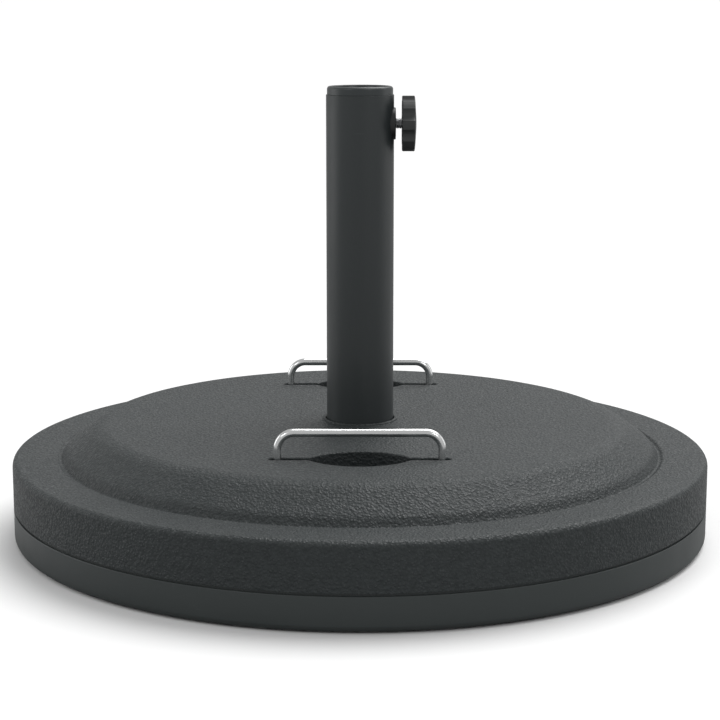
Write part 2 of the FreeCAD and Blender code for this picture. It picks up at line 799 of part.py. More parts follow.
def tube_weld_nut():
    """Nut welded on top of the disc."""
    body = new_body("tube_weld_nut")
    hexagon(body, "nut_blank", "Additive", "bolt_head_width", "nut_height", lift="foot_disc_top")
    drill(body, "nut_thread", "bolt_radius + bolt_thread_clearance", "nut_height", lift="foot_disc_top")
    return body


def tube_bolt():
    """Bolt from below that pulls the tube down into its socket."""
    seat = "recess_ceiling - bolt_washer_thickness"
    body = turned("tube_bolt", block("0", "bolt_radius", seat, "nut_top + bolt_tip"))
    hexagon(body, "bolt_head", "Additive", "bolt_head_width", "bolt_head_height",
            lift=seat + " - bolt_head_height")
    return body


def tube_bolt_washer():
    return turned("tube_bolt_washer", block("bolt_radius + bolt_hole_clearance", "bolt_washer_radius",
                                            "recess_ceiling - bolt_washer_thickness", "recess_ceiling"))


def bolt_cover():
    """Cap over the bolt recess, flush with the underside."""
    outer = "bolt_recess_radius - cover_clearance"
    skirt = "recess_ceiling - bolt_washer_thickness"
    return turned("bolt_cover", [
        ("0", "pan_lift"),
        (outer, "pan_lift"),
        (outer, skirt),
        (outer + " - cover_thickness", skirt),
        (outer + " - cover_thickness", "pan_lift + cover_thickness"),
        ("0", "pan_lift + cover_thickness"),
    ])


def reducer_sleeve():
    """Drop-in plastic collar that narrows the tube for a thinner pole and covers its cut end."""
    skirt = "tube_inner - sleeve_clearance"
    collar = "tube_radius - collar_step"
    shoulder = "tube_top + collar_seat_gap"
    foot = "tube_top - sleeve_length"
    body = turned("reducer_sleeve", [
        ("sleeve_bore", foot),
        (skirt, foot),
        (skirt, shoulder),
        (collar, shoulder),
        (collar, "stand_height", "collar_round"),
        ("sleeve_bore + funnel_flare", "stand_height"),
        ("sleeve_bore", "stand_height - funnel_depth"),
    ])
    # slot open at its lower end, so that the sleeve lifts out past the clamp screw
    half = "clamp_screw_radius + sleeve_slot_clearance"
    sketch = new_sketch(body, "screw_slot_outline", "YZ_Plane", rise="clamp_height")
    slot_foot = "-(clamp_height - (%s))" % (foot + " - sleeve_slot_clearance")
    outline(sketch, [
        ("-(%s)" % half, slot_foot),
        (half, slot_foot),
        (half, half, half + " - sleeve_slot_clearance"),
        ("-(%s)" % half, half, half + " - sleeve_slot_clearance"),
    ])
    before = body.Shape.Volume
    slot = body.newObject("PartDesign::Pocket", "screw_slot")
    slot.Profile = sketch
    slot.Reversed = True
    slot.setExpression("Length", bound("tube_radius"))
    doc.recompute()
    must_change("screw_slot", before, body.Shape.Volume)
    return body


# ---------------------------------------------------------------- clamp


def along_clamp(name, corners):
    """A sub-part turned about the clamp's axis; x runs outwards from the tube's axis."""
    return turned(name, corners, rise="clamp_height", axis="H_Axis")


BOSS_ROOT = "tube_radius - 2 * boss_disc_radius^2 / (3 * tube_radius)"


def clamp_boss():
    """Threaded steel boss welded into the side of the tube."""
    bore = "clamp_screw_radius + clamp_thread_clearance"
    inner = "tube_radius - tube_wall / 2"
    body = along_clamp("clamp_boss", [
        (inner, bore),
        ("boss_face", bore),
        ("boss_face", "boss_disc_radius", "boss_disc_round"),
        (BOSS_ROOT, "boss_disc_radius"),
        (BOSS_ROOT, "boss_spigot_radius"),
        (inner, "boss_spigot_radius"),
    ])
    before = body.Shape.Volume
    sketch = new_sketch(body, "tube_saddle_outline", "XY_Plane")
    circle(sketch, "tube_radius")
    saddle = body.newObject("PartDesign::Pocket", "tube_saddle")
    saddle.Profile = sketch
    saddle.Reversed = True
    saddle.setExpression("Length", bound("stand_height"))
    doc.recompute()
    must_change("tube_saddle", before, body.Shape.Volume)
    return body


def clamp_screw():
    """Threaded stud with a hexagon head moulded into the knob and a drilled tip."""
    tip = "tip_face + tip_thickness"
    head = "knob_face + knob_thickness - knob_cap_thickness - knob_head_height"
    body = along_clamp("clamp_screw", [
        (tip, "tip_stem_radius + tip_fit_clearance"),
        (tip, "clamp_screw_radius"),
        (head, "clamp_screw_radius"),
        (head, "0"),
        (tip + " + tip_stem_length + tip_fit_clearance", "0"),
        (tip + " + tip_stem_length + tip_fit_clearance", "tip_stem_radius + tip_fit_clearance"),
    ])
    hexagon(body, "stud_head", "Additive", "knob_head_width", "knob_head_height", role="YZ_Plane",
            rise="clamp_height", lift=head)
    return body


def clamp_tip():
    """Plastic button that presses on the pole while the screw turns behind it."""
    tip = "tip_face + tip_thickness - tip_fit_clearance"
    return along_clamp("clamp_tip", [
        ("tip_face", "0"),
        ("tip_face", "tip_radius"),
        (tip, "tip_radius"),
        (tip, "tip_stem_radius"),
        ("tip_face + tip_thickness + tip_stem_length", "tip_stem_radius"),
        ("tip_face + tip_thickness + tip_stem_length", "0"),
    ])


def clamp_knob():
    """Fluted hand knob moulded on the stud's head."""
    crown = "knob_face + knob_thickness"
    head = crown + " - knob_cap_thickness - knob_head_height"
    body = along_clamp("clamp_knob", [
        ("knob_face", "clamp_screw_radius + knob_fit_clearance"),
        ("knob_face", "knob_radius", "knob_round"),
        (crown + " - knob_crown", "knob_radius", "knob_round"),
        (crown, "knob_cap_radius + knob_fit_clearance"),
        (crown + " - knob_cap_thickness", "knob_cap_radius + knob_fit_clearance"),
        (crown + " - knob_cap_thickness", "clamp_screw_radius + knob_fit_clearance"),
    ])
    hexagon(body, "stud_head_room", "Subtractive", "knob_head_width + 2 * knob_fit_clearance",
            "knob_head_height + knob_cap_thickness", role="YZ_Plane", rise="clamp_height", lift=head)
    reach = "knob_radius + flute_radius - flute_depth"
    for number in range(FLUTES):
        angle = "%s deg" % (FULL_TURN * (number + 0.5) / FLUTES)
        drill(body, "flute_%d" % number, "flute_radius", "2 * knob_thickness", role="YZ_Plane",
              across="(%s) * cos(%s)" % (reach, angle),
              rise="clamp_height + (%s) * sin(%s)" % (reach, angle), lift="knob_face - knob_thickness / 2")
    return body


def knob_cap():
    """Cap that hides the stud's head and finishes the knob's crown."""
    crown = "knob_face + knob_thickness"
    return along_clamp("knob_cap", [
        (crown + " - knob_cap_thickness", "0"),
        (crown + " - knob_cap_thickness", "knob_cap_radius"),
        (crown, "knob_cap_radius"),
        (crown + " + knob_crown / 2", "knob_cap_radius / 2"),
        (crown + " + knob_crown / 2", "0"),
    ])


# ---------------------------------------------------------------- carry handles


def carry_handle(tag, side):
    """Bent steel rod: two legs, two bends and a bar."""
    body = new_body(tag + "_handle")
    path = new_sketch(body, tag + "_handle_line", "XZ_Plane", lift="%d * handle_offset" % -side)
    outline(path, [
        ("-leg_offset", "leg_foot"),
        ("-leg_offset", "bar_height", "handle_bend"),
        ("leg_offset", "bar_height", "handle_bend"),
        ("leg_offset", "leg_foot"),
    ], closed=False)
    ring = new_sketch(body, tag + "_handle_ring", "XY_Plane", across="-leg_offset",
                      rise=pocket_place(side), lift="leg_foot")
    circle(ring, "rod_radius")
    rod = body.newObject("PartDesign::AdditivePipe", tag + "_handle_rod")
    rod.Profile = ring
    rod.Spine = (path, [])
    doc.recompute()
    return body


def handle_stops(tag, side):
    """Collars on the feet of the legs, which meet the bushes and stop the handle pulling out."""
    body = new_body(tag + "_handle_stops")
    stop = turn(body, tag + "_stop", block("rod_radius", "stop_radius", "stop_top - stop_length", "stop_top"),
                across="leg_offset", lift="%d * handle_offset" % -side)
    mirrored(body, tag + "_stop_pair", [stop], "YZ_Plane")
    return body


def guide_tubes():
    """Closed tubes cast into the concrete, one under each leg."""
    body = new_body("guide_tubes")
    tube = turn(body, "guide_tube", [
        ("0", "guide_bottom"),
        ("bush_radius", "guide_bottom"),
        ("bush_radius", "slot_underside"),
        ("guide_bore", "slot_underside"),
        ("guide_bore", "guide_bottom + guide_floor"),
        ("0", "guide_bottom + guide_floor"),
    ], across="leg_offset", lift="handle_offset")
    four_ways(body, "guide_tube_set", [tube])
    return body


def guide_bushes():
    """Plain bushes pressed into the tops of the guide tubes."""
    body = new_body("guide_bushes")
    bush = turn(body, "guide_bush", block("rod_radius + bush_clearance", "guide_bore",
                                          "bush_bottom", "slot_underside"),
                across="leg_offset", lift="handle_offset")
    four_ways(body, "guide_bush_set", [bush])
    return body


# ---------------------------------------------------------------- build, check and write


def check_document():
    for item in doc.Objects:
        if "Invalid" in item.State or "Error" in item.State:
            raise ValueError("%s is not well: %s" % (item.Label, item.State))
    for part in PARTS:
        shape = part.Shape
        if shape.isNull() or not shape.isValid() or not shape.Solids:
            raise ValueError("%s has no sound solid" % part.Label)


def write_parts():
    os.makedirs("parts", exist_ok=True)
    for part in PARTS:
        part.Shape.exportStep("parts/%s.step" % part.Label)
        print("%-22s %2d solids %12.1f mm3" % (part.Label, len(part.Shape.Solids), part.Shape.Volume))


fill_sheet()
base_pan()
base_cover()
concrete_ballast()
fill_plug()
rubber_feet()
shell_screws()
tube_liner()
pole_tube()
tube_foot_disc()
tube_weld_nut()
tube_bolt()
tube_bolt_washer()
bolt_cover()
reducer_sleeve()
clamp_boss()
clamp_screw()
clamp_tip()
clamp_knob()
knob_cap()
for handle_tag, handle_side in (("front", FRONT), ("rear", REAR)):
    carry_handle(handle_tag, handle_side)
    handle_stops(handle_tag, handle_side)
guide_tubes()
guide_bushes()
doc.recompute()
check_document()
write_parts()
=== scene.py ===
import bmesh
import bpy
import math
from mathutils import Matrix, Vector


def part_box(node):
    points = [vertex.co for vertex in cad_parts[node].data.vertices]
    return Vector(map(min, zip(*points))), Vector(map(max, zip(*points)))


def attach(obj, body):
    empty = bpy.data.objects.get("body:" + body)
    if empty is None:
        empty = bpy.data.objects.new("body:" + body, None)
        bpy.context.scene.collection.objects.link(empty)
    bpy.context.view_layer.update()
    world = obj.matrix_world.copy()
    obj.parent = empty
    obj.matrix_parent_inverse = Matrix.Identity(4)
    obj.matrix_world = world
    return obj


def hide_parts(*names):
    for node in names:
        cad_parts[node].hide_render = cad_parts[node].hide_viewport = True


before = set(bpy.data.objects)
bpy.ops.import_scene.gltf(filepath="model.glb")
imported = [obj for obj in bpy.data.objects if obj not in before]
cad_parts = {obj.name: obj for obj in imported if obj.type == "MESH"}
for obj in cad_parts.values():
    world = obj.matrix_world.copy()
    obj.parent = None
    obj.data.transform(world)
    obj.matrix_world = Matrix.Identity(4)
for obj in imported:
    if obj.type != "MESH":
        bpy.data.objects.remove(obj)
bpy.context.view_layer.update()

# Metres. +Z is up, -Y is the front and the clamp knob points along +X.
MM = 0.001
BEAD_HEIGHT = 1.2 * MM     # raised ring round the tube's hole, the cover's highest point
BEAD_WIDTH = 3 * MM
ROUND_STEPS = 360        # faces round the base shells
TUBE_STEPS = 128         # faces round the tube and its collar
SMALL_STEPS = 48         # faces round screws, feet and caps
CORNER_STEPS = 6         # faces round a softened corner
SMOOTH_ANGLE = math.radians(32)
FULL_TURN = 2 * math.pi
UP = Vector((0, 0, 1))
ALONG_X = Vector((1, 0, 0))
MERGE_DISTANCE = 1e-6

# Sizes taken from the frame
shell_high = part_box("top_shell")[1]
pan_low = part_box("bottom_pan")[0]
tube_low, tube_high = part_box("pole_tube")
sleeve_low, sleeve_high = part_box("reducer_sleeve")
knob_low, knob_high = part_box("clamp_knob")
cap_low, cap_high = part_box("knob_cap")
stud_low, stud_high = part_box("clamp_screw")
rod_low, rod_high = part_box("front_handle")

base_radius = shell_high.x
plateau_height = shell_high.z - BEAD_HEIGHT
pan_bottom = pan_low.z
tube_radius = tube_high.x
clamp_height = (knob_low.z + knob_high.z) / 2
rod_radius = (rod_high.y - rod_low.y) / 2
handle_offset = -(rod_high.y + rod_low.y) / 2

# Details of the shells that the frame's boxes do not give
SHELL_WALL = 4 * MM
SEAM_LOW = 26.1 * MM
SEAM_HIGH = 27.9 * MM
SEAM_DEPTH = 1.9 * MM
TOP_DROP = 23 * MM
LIP_WIDTH = 34 * MM
LIP_EDGE_ROUND = 4.5 * MM
VALLEY_WIDTH = 3 * MM
VALLEY_DROP = 2.3 * MM
SLOPE_LOW_RUN = 5 * MM
SLOPE_LOW_RISE = 7.5 * MM
SLOPE_HIGH_RUN = 25 * MM
SHOULDER_ROUND = 25 * MM
NECK_GAP = 0.5 * MM
NECK_DEPTH = 9 * MM
PAN_EDGE_ROUND = 5 * MM

SLOT_HALF_LENGTH = 65.5 * MM
SLOT_RADIUS = 3.6 * MM
SLOT_DEPTH = 17 * MM
WELL_HALF_LENGTH = 38.5 * MM
WELL_HALF_WIDTH = 22.5 * MM
WELL_DEPTH = 24 * MM
POCKET_WALL = 3 * MM
POCKET_EDGE_ROUND = 1.2 * MM

lip_height = plateau_height - TOP_DROP
lip_inner = base_radius - LIP_WIDTH
valley_radius = lip_inner - VALLEY_WIDTH
valley_height = lip_height - VALLEY_DROP
slope_radius = valley_radius - SLOPE_LOW_RUN
slope_height = valley_height + SLOPE_LOW_RISE
plateau_radius = slope_radius - SLOPE_HIGH_RUN
neck_radius = tube_radius + NECK_GAP


# ------------------------------------------------------------------ shapes


def softened(corners):
    """Outline points from (x, y) or (x, y, radius) corners, each radius turned into an arc."""
    count = len(corners)
    points = []
    for index, corner in enumerate(corners):
        here = Vector(corner[:2])
        if len(corner) < 3 or not corner[2]:
            points.append(here)
            continue
        back = (Vector(corners[index - 1][:2]) - here).normalized()
        ahead = (Vector(corners[(index + 1) % count][:2]) - here).normalized()
        half = back.angle(ahead) / 2
        centre = here + (back + ahead).normalized() * (corner[2] / math.sin(half))
        start = here + back * (corner[2] / math.tan(half)) - centre
        sweep = math.pi - 2 * half
        if back.x * ahead.y - back.y * ahead.x > 0:
            sweep = -sweep
        for step in range(CORNER_STEPS + 1):
            turn = Matrix.Rotation(sweep * step / CORNER_STEPS, 2)
            points.append(centre + turn @ start)
    return points


def clean(shape):
    """Close seams and poles, then turn every face outwards."""
    bmesh.ops.remove_doubles(shape, verts=shape.verts, dist=MERGE_DISTANCE)
    bare = [edge for edge in shape.edges if not edge.link_faces]
    bmesh.ops.delete(shape, geom=bare, context="EDGES")
    bmesh.ops.recalc_face_normals(shape, faces=shape.faces)
    return shape


def turned(corners, steps):
    """A closed outline of (radius, height) corners spun a full turn round the upright axis."""
    shape = bmesh.new()
    ring = [shape.verts.new(ALONG_X * point.x + UP * point.y) for point in softened(corners)]
    edges = [shape.edges.new((ring[index - 1], vert)) for index, vert in enumerate(ring)]
    bmesh.ops.spin(shape, geom=ring + edges, cent=Vector(), axis=UP, dvec=Vector(), angle=FULL_TURN,
                   steps=steps, use_merge=True, use_normal_flip=False, use_duplicate=False)
    return clean(shape)


def plate(points, low, high):
    """A flat outline raised into a solid between two heights."""
    shape = bmesh.new()
    face = shape.faces.new([shape.verts.new((point.x, point.y, low)) for point in points])
    raised = bmesh.ops.extrude_face_region(shape, geom=[face])
    moved = [item for item in raised["geom"] if isinstance(item, bmesh.types.BMVert)]
    bmesh.ops.translate(shape, verts=moved, vec=UP * (high - low))
    return clean(shape)


def pulled(shape, face, first=False):
    """Extrude one face and give the new face and its corners. Only a first face stays, as an end."""
    grown = bmesh.ops.extrude_face_region(shape, geom=[face])["geom"]
    if not first:
        bmesh.ops.delete(shape, geom=[face], context="FACES_ONLY")
    corners = [item for item in grown if isinstance(item, bmesh.types.BMVert)]
    return next(item for item in grown if isinstance(item, bmesh.types.BMFace)), corners


def rod(radius, length, start, along, steps=SMALL_STEPS):
    """A plain round bar that starts at a point and runs along a direction."""
    shape = bmesh.new()
    turn = UP.rotation_difference(along).to_matrix().to_4x4()
    place = Matrix.Translation(start + along * (length / 2)) @ turn
    bmesh.ops.create_cone(shape, cap_ends=True, segments=steps, radius1=radius, radius2=radius,
                          depth=length, matrix=place)
    return shape


def gathered(*shapes):
    """Put several shapes into one."""
    whole = bmesh.new()
    for shape in shapes:
        part = bpy.data.meshes.new("part")
        shape.to_mesh(part)
        shape.free()
        whole.from_mesh(part)
        bpy.data.meshes.remove(part)
    return whole


def copied(shape, places):
    """The same shape at several places."""
    part = bpy.data.meshes.new("part")
    shape.to_mesh(part)
    shape.free()
    whole = bmesh.new()
    for place in places:
        copy = part.copy()
        copy.transform(place)
        whole.from_mesh(copy)
        bpy.data.meshes.remove(copy)
    bpy.data.meshes.remove(part)
    return whole


def as_object(name, shape):
    """Turn a shape into an object in the scene."""
    mesh = bpy.data.meshes.new(name)
    shape.to_mesh(mesh)
    shape.free()
    thing = bpy.data.objects.new(name, mesh)
    bpy.context.scene.collection.objects.link(thing)
    return thing


def combine(shape, tools, operation):
    """Cut tools from a shape, or join them to it, and give the result back as a shape."""
    thing = as_object("blank", shape)
    cutters = [as_object("cutter", tool) for tool in tools]
    for cutter in cutters:
        step = thing.modifiers.new("step", "BOOLEAN")
        step.operation = operation
        step.solver = "EXACT"
        step.object = cutter
    depsgraph = bpy.context.evaluated_depsgraph_get()
    result = bmesh.new()
    result.from_object(thing, depsgraph)
    for item in [thing] + cutters:
        mesh = item.data
        bpy.data.objects.remove(item)
        bpy.data.meshes.remove(mesh)
    return result


def soften_edges(shape, width, steps, choose):
    """Round the chosen edges of a shape."""
    edges = [edge for edge in shape.edges if len(edge.link_faces) == 2 and choose(edge)]
    bmesh.ops.bevel(shape, geom=edges, offset=width, offset_type="OFFSET", segments=steps, profile=0.5,
                    affect="EDGES", clamp_overlap=True, material=-1)
    return shape


def piece(name, shape, body, slot, material, *nodes):
    """Finish a shape as a visible piece that stands for CAD nodes and rides on a body."""
    thing = as_object(name, shape)
    mesh = thing.data
    mesh.shade_smooth()
    mesh.set_sharp_from_angle(angle=SMOOTH_ANGLE)
    mesh.materials.append(material)
    even = thing.modifiers.new("even_shading", "WEIGHTED_NORMAL")
    even.keep_sharp = True
    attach(thing, body)
    if nodes:
        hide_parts(*nodes)
    return thing


# ------------------------------------------------------------------ shared surface effects


def effect(name, inputs, outputs):
    """An empty node group with named sockets, its input node and its output node."""
    tree = bpy.data.node_groups.new(name, "ShaderNodeTree")
    for label, kind, value in inputs:
        socket = tree.interface.new_socket(label, in_out="INPUT", socket_type=kind)
        if value is not None:
            socket.default_value = value
    for label in outputs:
        tree.interface.new_socket(label, in_out="OUTPUT", socket_type="NodeSocketFloat")
    return tree, tree.nodes.new("NodeGroupInput"), tree.nodes.new("NodeGroupOutput")


CELL_SMOOTHNESS = 0.6


def noise(tree, vector, scale, detail=2.0, roughness=0.5, distortion=0.0):
    """Cloudy noise."""
    node = tree.nodes.new("ShaderNodeTexNoise")
    node.inputs["Detail"].default_value = detail
    node.inputs["Roughness"].default_value = roughness
    node.inputs["Distortion"].default_value = distortion
    feed(tree, node.inputs["Scale"], scale)
    feed(tree, node.inputs["Vector"], vector)
    return node.outputs["Fac"]


def cells(tree, vector, scale, feature="SMOOTH_F1"):
    """Distance from the middle of the nearest cell, with the joins smoothed unless told otherwise."""
    node = tree.nodes.new("ShaderNodeTexVoronoi")
    node.feature = feature
    if feature == "SMOOTH_F1":
        node.inputs["Smoothness"].default_value = CELL_SMOOTHNESS
    feed(tree, node.inputs["Scale"], scale)
    feed(tree, node.inputs["Vector"], vector)
    return node.outputs["Distance"]


def feed(tree, socket, value):
    """Link a socket, or set its value."""
    if isinstance(value, bpy.types.NodeSocket):
        tree.links.new(value, socket)
    elif value is not None:
        socket.default_value = value


def sums(tree, operation, first, second=None, third=None, clamp=False):
    """One step of arithmetic."""
    node = tree.nodes.new("ShaderNodeMath")
    node.operation = operation
    node.use_clamp = clamp
    for socket, value in zip(node.inputs, (first, second, third)):
        feed(tree, socket, value)
    return node.outputs[0]


def span(tree, value, low, high, to_low=0.0, to_high=1.0):
    """Stretch a value from one range to another, held at the ends."""
    node = tree.nodes.new("ShaderNodeMapRange")
    node.interpolation_type = "SMOOTHSTEP"
    for label, number in (("Value", value), ("From Min", low), ("From Max", high),
                          ("To Min", to_low), ("To Max", to_high)):
        feed(tree, node.inputs[label], number)
    return node.outputs["Result"]


def blended(tree, amount, first, second):
    """Mix two colours."""
    node = tree.nodes.new("ShaderNodeMix")
    node.data_type = "RGBA"
    feed(tree, node.inputs[0], amount)
    feed(tree, node.inputs[6], first)
    feed(tree, node.inputs[7], second)
    return node.outputs[2]


def stretched(tree, vector, scale):
    """Coordinates scaled by a different number each way, which draws a pattern out into lines."""
    node = tree.nodes.new("ShaderNodeVectorMath")
    node.operation = "MULTIPLY"
    feed(tree, node.inputs[0], vector)
    node.inputs[1].default_value = scale
    return node.outputs[0]


def worn_to(colour, factor):
    """The same colour made lighter or darker."""
    return tuple(factor * part for part in colour[:3]) + (1,)


def pebble_effect():
    """Grain of a textured mould: packed domes with finer ones on them."""
    tree, inlet, outlet = effect("pebble_grain",
                                 [("Vector", "NodeSocketVector", None),
                                  ("Pebble", "NodeSocketFloat", 1.4 * MM)],
                                 ["Height", "GlintPaintTips", "Cloud"])
    vector = inlet.outputs["Vector"]
    fine = sums(tree, "DIVIDE", 1.0, inlet.outputs["Pebble"])
    finer = sums(tree, "MULTIPLY", fine, 2.3)
    domes = sums(tree, "SUBTRACT", 1.0, cells(tree, vector, fine))
    small = sums(tree, "SUBTRACT", 1.0, cells(tree, vector, finer))
    rough = noise(tree, vector, sums(tree, "MULTIPLY", fine, 0.55), 3.0, 0.6)
    height = sums(tree, "MULTIPLY_ADD", domes, 0.55, sums(tree, "MULTIPLY", small, 0.2))
    height = sums(tree, "MULTIPLY_ADD", rough, 0.5, height)
    tree.links.new(height, outlet.inputs["Height"])
    # mask of the pebble tips, which the cover uses for painted glints
    tree.links.new(span(tree, height, 0.72, 0.92), outlet.inputs["GlintPaintTips"])
    tree.links.new(noise(tree, vector, 14.0, 4.0, 0.55), outlet.inputs["Cloud"])
    return tree


def satin_effect():
    """Smooth moulded or coated surface: faint orange peel, and slow cloudy gloss."""
    tree, inlet, outlet = effect("satin_skin",
                                 [("Vector", "NodeSocketVector", None),
                                  ("Peel", "NodeSocketFloat", 2.5 * MM)],
                                 ["Height", "Cloud"])
    vector = inlet.outputs["Vector"]
    fine = sums(tree, "DIVIDE", 1.0, inlet.outputs["Peel"])
    peel = noise(tree, vector, fine, 2.0, 0.45)
    tree.links.new(peel, outlet.inputs["Height"])
    tree.links.new(noise(tree, vector, 11.0, 4.0, 0.6), outlet.inputs["Cloud"])
    return tree


def dust_effect():
    """Fine dust that settles on what faces up, thinner where the noise says so."""
    tree, inlet, outlet = effect("settled_dust",
                                 [("Vector", "NodeSocketVector", None),
                                  ("Facing", "NodeSocketVector", None),
                                  ("Amount", "NodeSocketFloat", 0.3)], ["Mask"])
    split = tree.nodes.new("ShaderNodeSeparateXYZ")
    tree.links.new(inlet.outputs["Facing"], split.inputs[0])
    upward = span(tree, split.outputs["Z"], 0.35, 1.0)
    patches = span(tree, noise(tree, inlet.outputs["Vector"], 23.0, 6.0, 0.65), 0.35, 0.75)
    mask = sums(tree, "MULTIPLY", upward, patches)
    tree.links.new(sums(tree, "MULTIPLY", mask, inlet.outputs["Amount"], clamp=True), outlet.inputs["Mask"])
    return tree


def scuff_effect():
    """Fine scratches from handling, in two directions."""
    tree, inlet, outlet = effect("handling_scuffs",
                                 [("Vector", "NodeSocketVector", None), ("Amount", "NodeSocketFloat", 0.5)],
                                 ["Mask"])
    vector = inlet.outputs["Vector"]
    lengthwise = noise(tree, stretched(tree, vector, (60.0, 900.0, 900.0)), 1.0, 2.0, 0.5, 0.4)
    crosswise = noise(tree, stretched(tree, vector, (900.0, 900.0, 70.0)), 1.0, 2.0, 0.5, 0.4)
    lines = sums(tree, "MAXIMUM", span(tree, lengthwise, 0.66, 0.74), span(tree, crosswise, 0.68, 0.76))
    where = span(tree, noise(tree, vector, 35.0, 3.0), 0.5, 0.7)
    mask = sums(tree, "MULTIPLY", lines, where)
    tree.links.new(sums(tree, "MULTIPLY", mask, inlet.outputs["Amount"], clamp=True), outlet.inputs["Mask"])
    return tree


SCUFF_LIGHTER = 2.2
STEEL_DULLER = 0.82
PEBBLES = pebble_effect()
SATIN = satin_effect()
DUST = dust_effect()
SCUFFS = scuff_effect()


# ------------------------------------------------------------------ finishes


def new_finish(name):
    """A material with its node tree, its shader, its object coordinates and the way it faces."""
    material = bpy.data.materials.new(name)
    material.use_nodes = True
    tree = material.node_tree
    shader = tree.nodes["Principled BSDF"]
    place = tree.nodes.new("ShaderNodeTexCoord")
    return material, tree, shader, place.outputs["Object"], place.outputs["Normal"]


def placed(tree, effect_group, vector, **values):
    """A shared effect put to use in a finish."""
    node = tree.nodes.new("ShaderNodeGroup")
    node.node_tree = effect_group
    feed(tree, node.inputs["Vector"], vector)
    for label, value in values.items():
        feed(tree, node.inputs[label], value)
    return node.outputs


def bumped(tree, shader, height, distance):
    """Fine relief on a finish."""
    node = tree.nodes.new("ShaderNodeBump")
    node.inputs["Distance"].default_value = distance
    node.inputs["Strength"].default_value = 1.0
    tree.links.new(height, node.inputs["Height"])
    tree.links.new(node.outputs["Normal"], shader.inputs["Normal"])


COVER_DARK = (0.0195, 0.024, 0.025, 1)
COVER_LIGHT = (0.0245, 0.030, 0.031, 1)
COVER_BLOTCH = (0.036, 0.043, 0.044, 1)
COVER_BLOTCH_SHARE = 0.55
# lighter colour painted on the pebble tips: painted glints
COVER_GLINT_PAINT = (0.080, 0.091, 0.093, 1)
COVER_GLINT_PAINT_SHARE = 0.2
COVER_DUST = (0.075, 0.08, 0.079, 1)
COVER_PEBBLE = 1.9 * MM
COVER_RELIEF = 1.3 * MM


def grained_plastic():
    """Cover: dark grey polyethylene from a pebbled mould, matt in the hollows, with painted glints that
    lighten the pebble tips.
    """
    material, tree, shader, vector, facing = new_finish("cover_grained_plastic")
    grain = placed(tree, PEBBLES, vector, Pebble=COVER_PEBBLE)
    dust = placed(tree, DUST, vector, Facing=facing, Amount=0.2)
    blotch = span(tree, noise(tree, vector, 230.0, 4.0, 0.65), 0.35, 0.65)
    body = blended(tree, grain["Cloud"], COVER_DARK, COVER_LIGHT)
    body = blended(tree, sums(tree, "MULTIPLY", blotch, COVER_BLOTCH_SHARE), body, COVER_BLOTCH)
    # painted glints: the pebble tips are lightened towards a paler colour
    glint_painted = blended(tree, sums(tree, "MULTIPLY", grain["GlintPaintTips"], COVER_GLINT_PAINT_SHARE), body, COVER_GLINT_PAINT)
    dusty = blended(tree, dust["Mask"], glint_painted, COVER_DUST)
    tree.links.new(dusty, shader.inputs["Base Color"])
    gloss = span(tree, grain["Height"], 0.5, 0.9, 0.6, 0.28)
    tree.links.new(sums(tree, "MULTIPLY_ADD", dust["Mask"], 0.15, gloss), shader.inputs["Roughness"])
    shader.inputs["Specular IOR Level"].default_value = 0.36
    bumped(tree, shader, grain["Height"], COVER_RELIEF)
    return material


def satin_plastic(name, dark, light, gloss=(0.38, 0.5), peel=3.0 * MM, depth=0.02 * MM, scuffs=0.4):
    """Smooth moulded plastic with cloudy gloss, faint peel and light scuffs."""
    material, tree, shader, vector, facing = new_finish(name)
    skin = placed(tree, SATIN, vector, Peel=peel)
    scuff = placed(tree, SCUFFS, vector, Amount=scuffs)
    dust = placed(tree, DUST, vector, Facing=facing, Amount=0.2)
    body = blended(tree, skin["Cloud"], dark, light)
    worn = blended(tree, scuff["Mask"], body, worn_to(light, SCUFF_LIGHTER))
    tree.links.new(blended(tree, dust["Mask"], worn, (0.15, 0.15, 0.145, 1)), shader.inputs["Base Color"])
    smooth = span(tree, skin["Cloud"], 0.3, 0.7, *gloss)
    tree.links.new(sums(tree, "MULTIPLY_ADD", scuff["Mask"], 0.25, smooth), shader.inputs["Roughness"])
    height = sums(tree, "MULTIPLY_ADD", scuff["Mask"], -0.4, skin["Height"])
    bumped(tree, shader, height, depth)
    return material


def powder_coat(name, dark, light):
    """Tube and boss: powder coat, satin, with fine orange peel."""
    material, tree, shader, vector, facing = new_finish(name)
    skin = placed(tree, SATIN, vector, Peel=1.6 * MM)
    scuff = placed(tree, SCUFFS, vector, Amount=0.35)
    body = blended(tree, skin["Cloud"], dark, light)
    worn = blended(tree, scuff["Mask"], body, worn_to(light, SCUFF_LIGHTER))
    tree.links.new(worn, shader.inputs["Base Color"])
    tree.links.new(span(tree, skin["Cloud"], 0.3, 0.7, 0.36, 0.46), shader.inputs["Roughness"])
    bumped(tree, shader, skin["Height"], 0.03 * MM)
    return material


def bright_steel(name, tint, gloss, brush=(40.0, 1400.0, 1400.0), depth=0.004 * MM, scuffs=0.6):
    """Bare or plated steel with fine drawn lines and handling marks."""
    material, tree, shader, vector, facing = new_finish(name)
    shader.inputs["Metallic"].default_value = 1.0
    drawn = noise(tree, stretched(tree, vector, brush), 1.0, 3.0, 0.6)
    skin = placed(tree, SATIN, vector, Peel=4.0 * MM)
    scuff = placed(tree, SCUFFS, vector, Amount=scuffs)
    dull = worn_to(tint, STEEL_DULLER)
    body = blended(tree, skin["Cloud"], tint, dull)
    tree.links.new(blended(tree, scuff["Mask"], body, (0.45, 0.45, 0.44, 1)), shader.inputs["Base Color"])
    lines = span(tree, drawn, 0.3, 0.7, *gloss)
    tree.links.new(sums(tree, "MULTIPLY_ADD", scuff["Mask"], 0.3, lines), shader.inputs["Roughness"])
    bumped(tree, shader, drawn, depth)
    return material


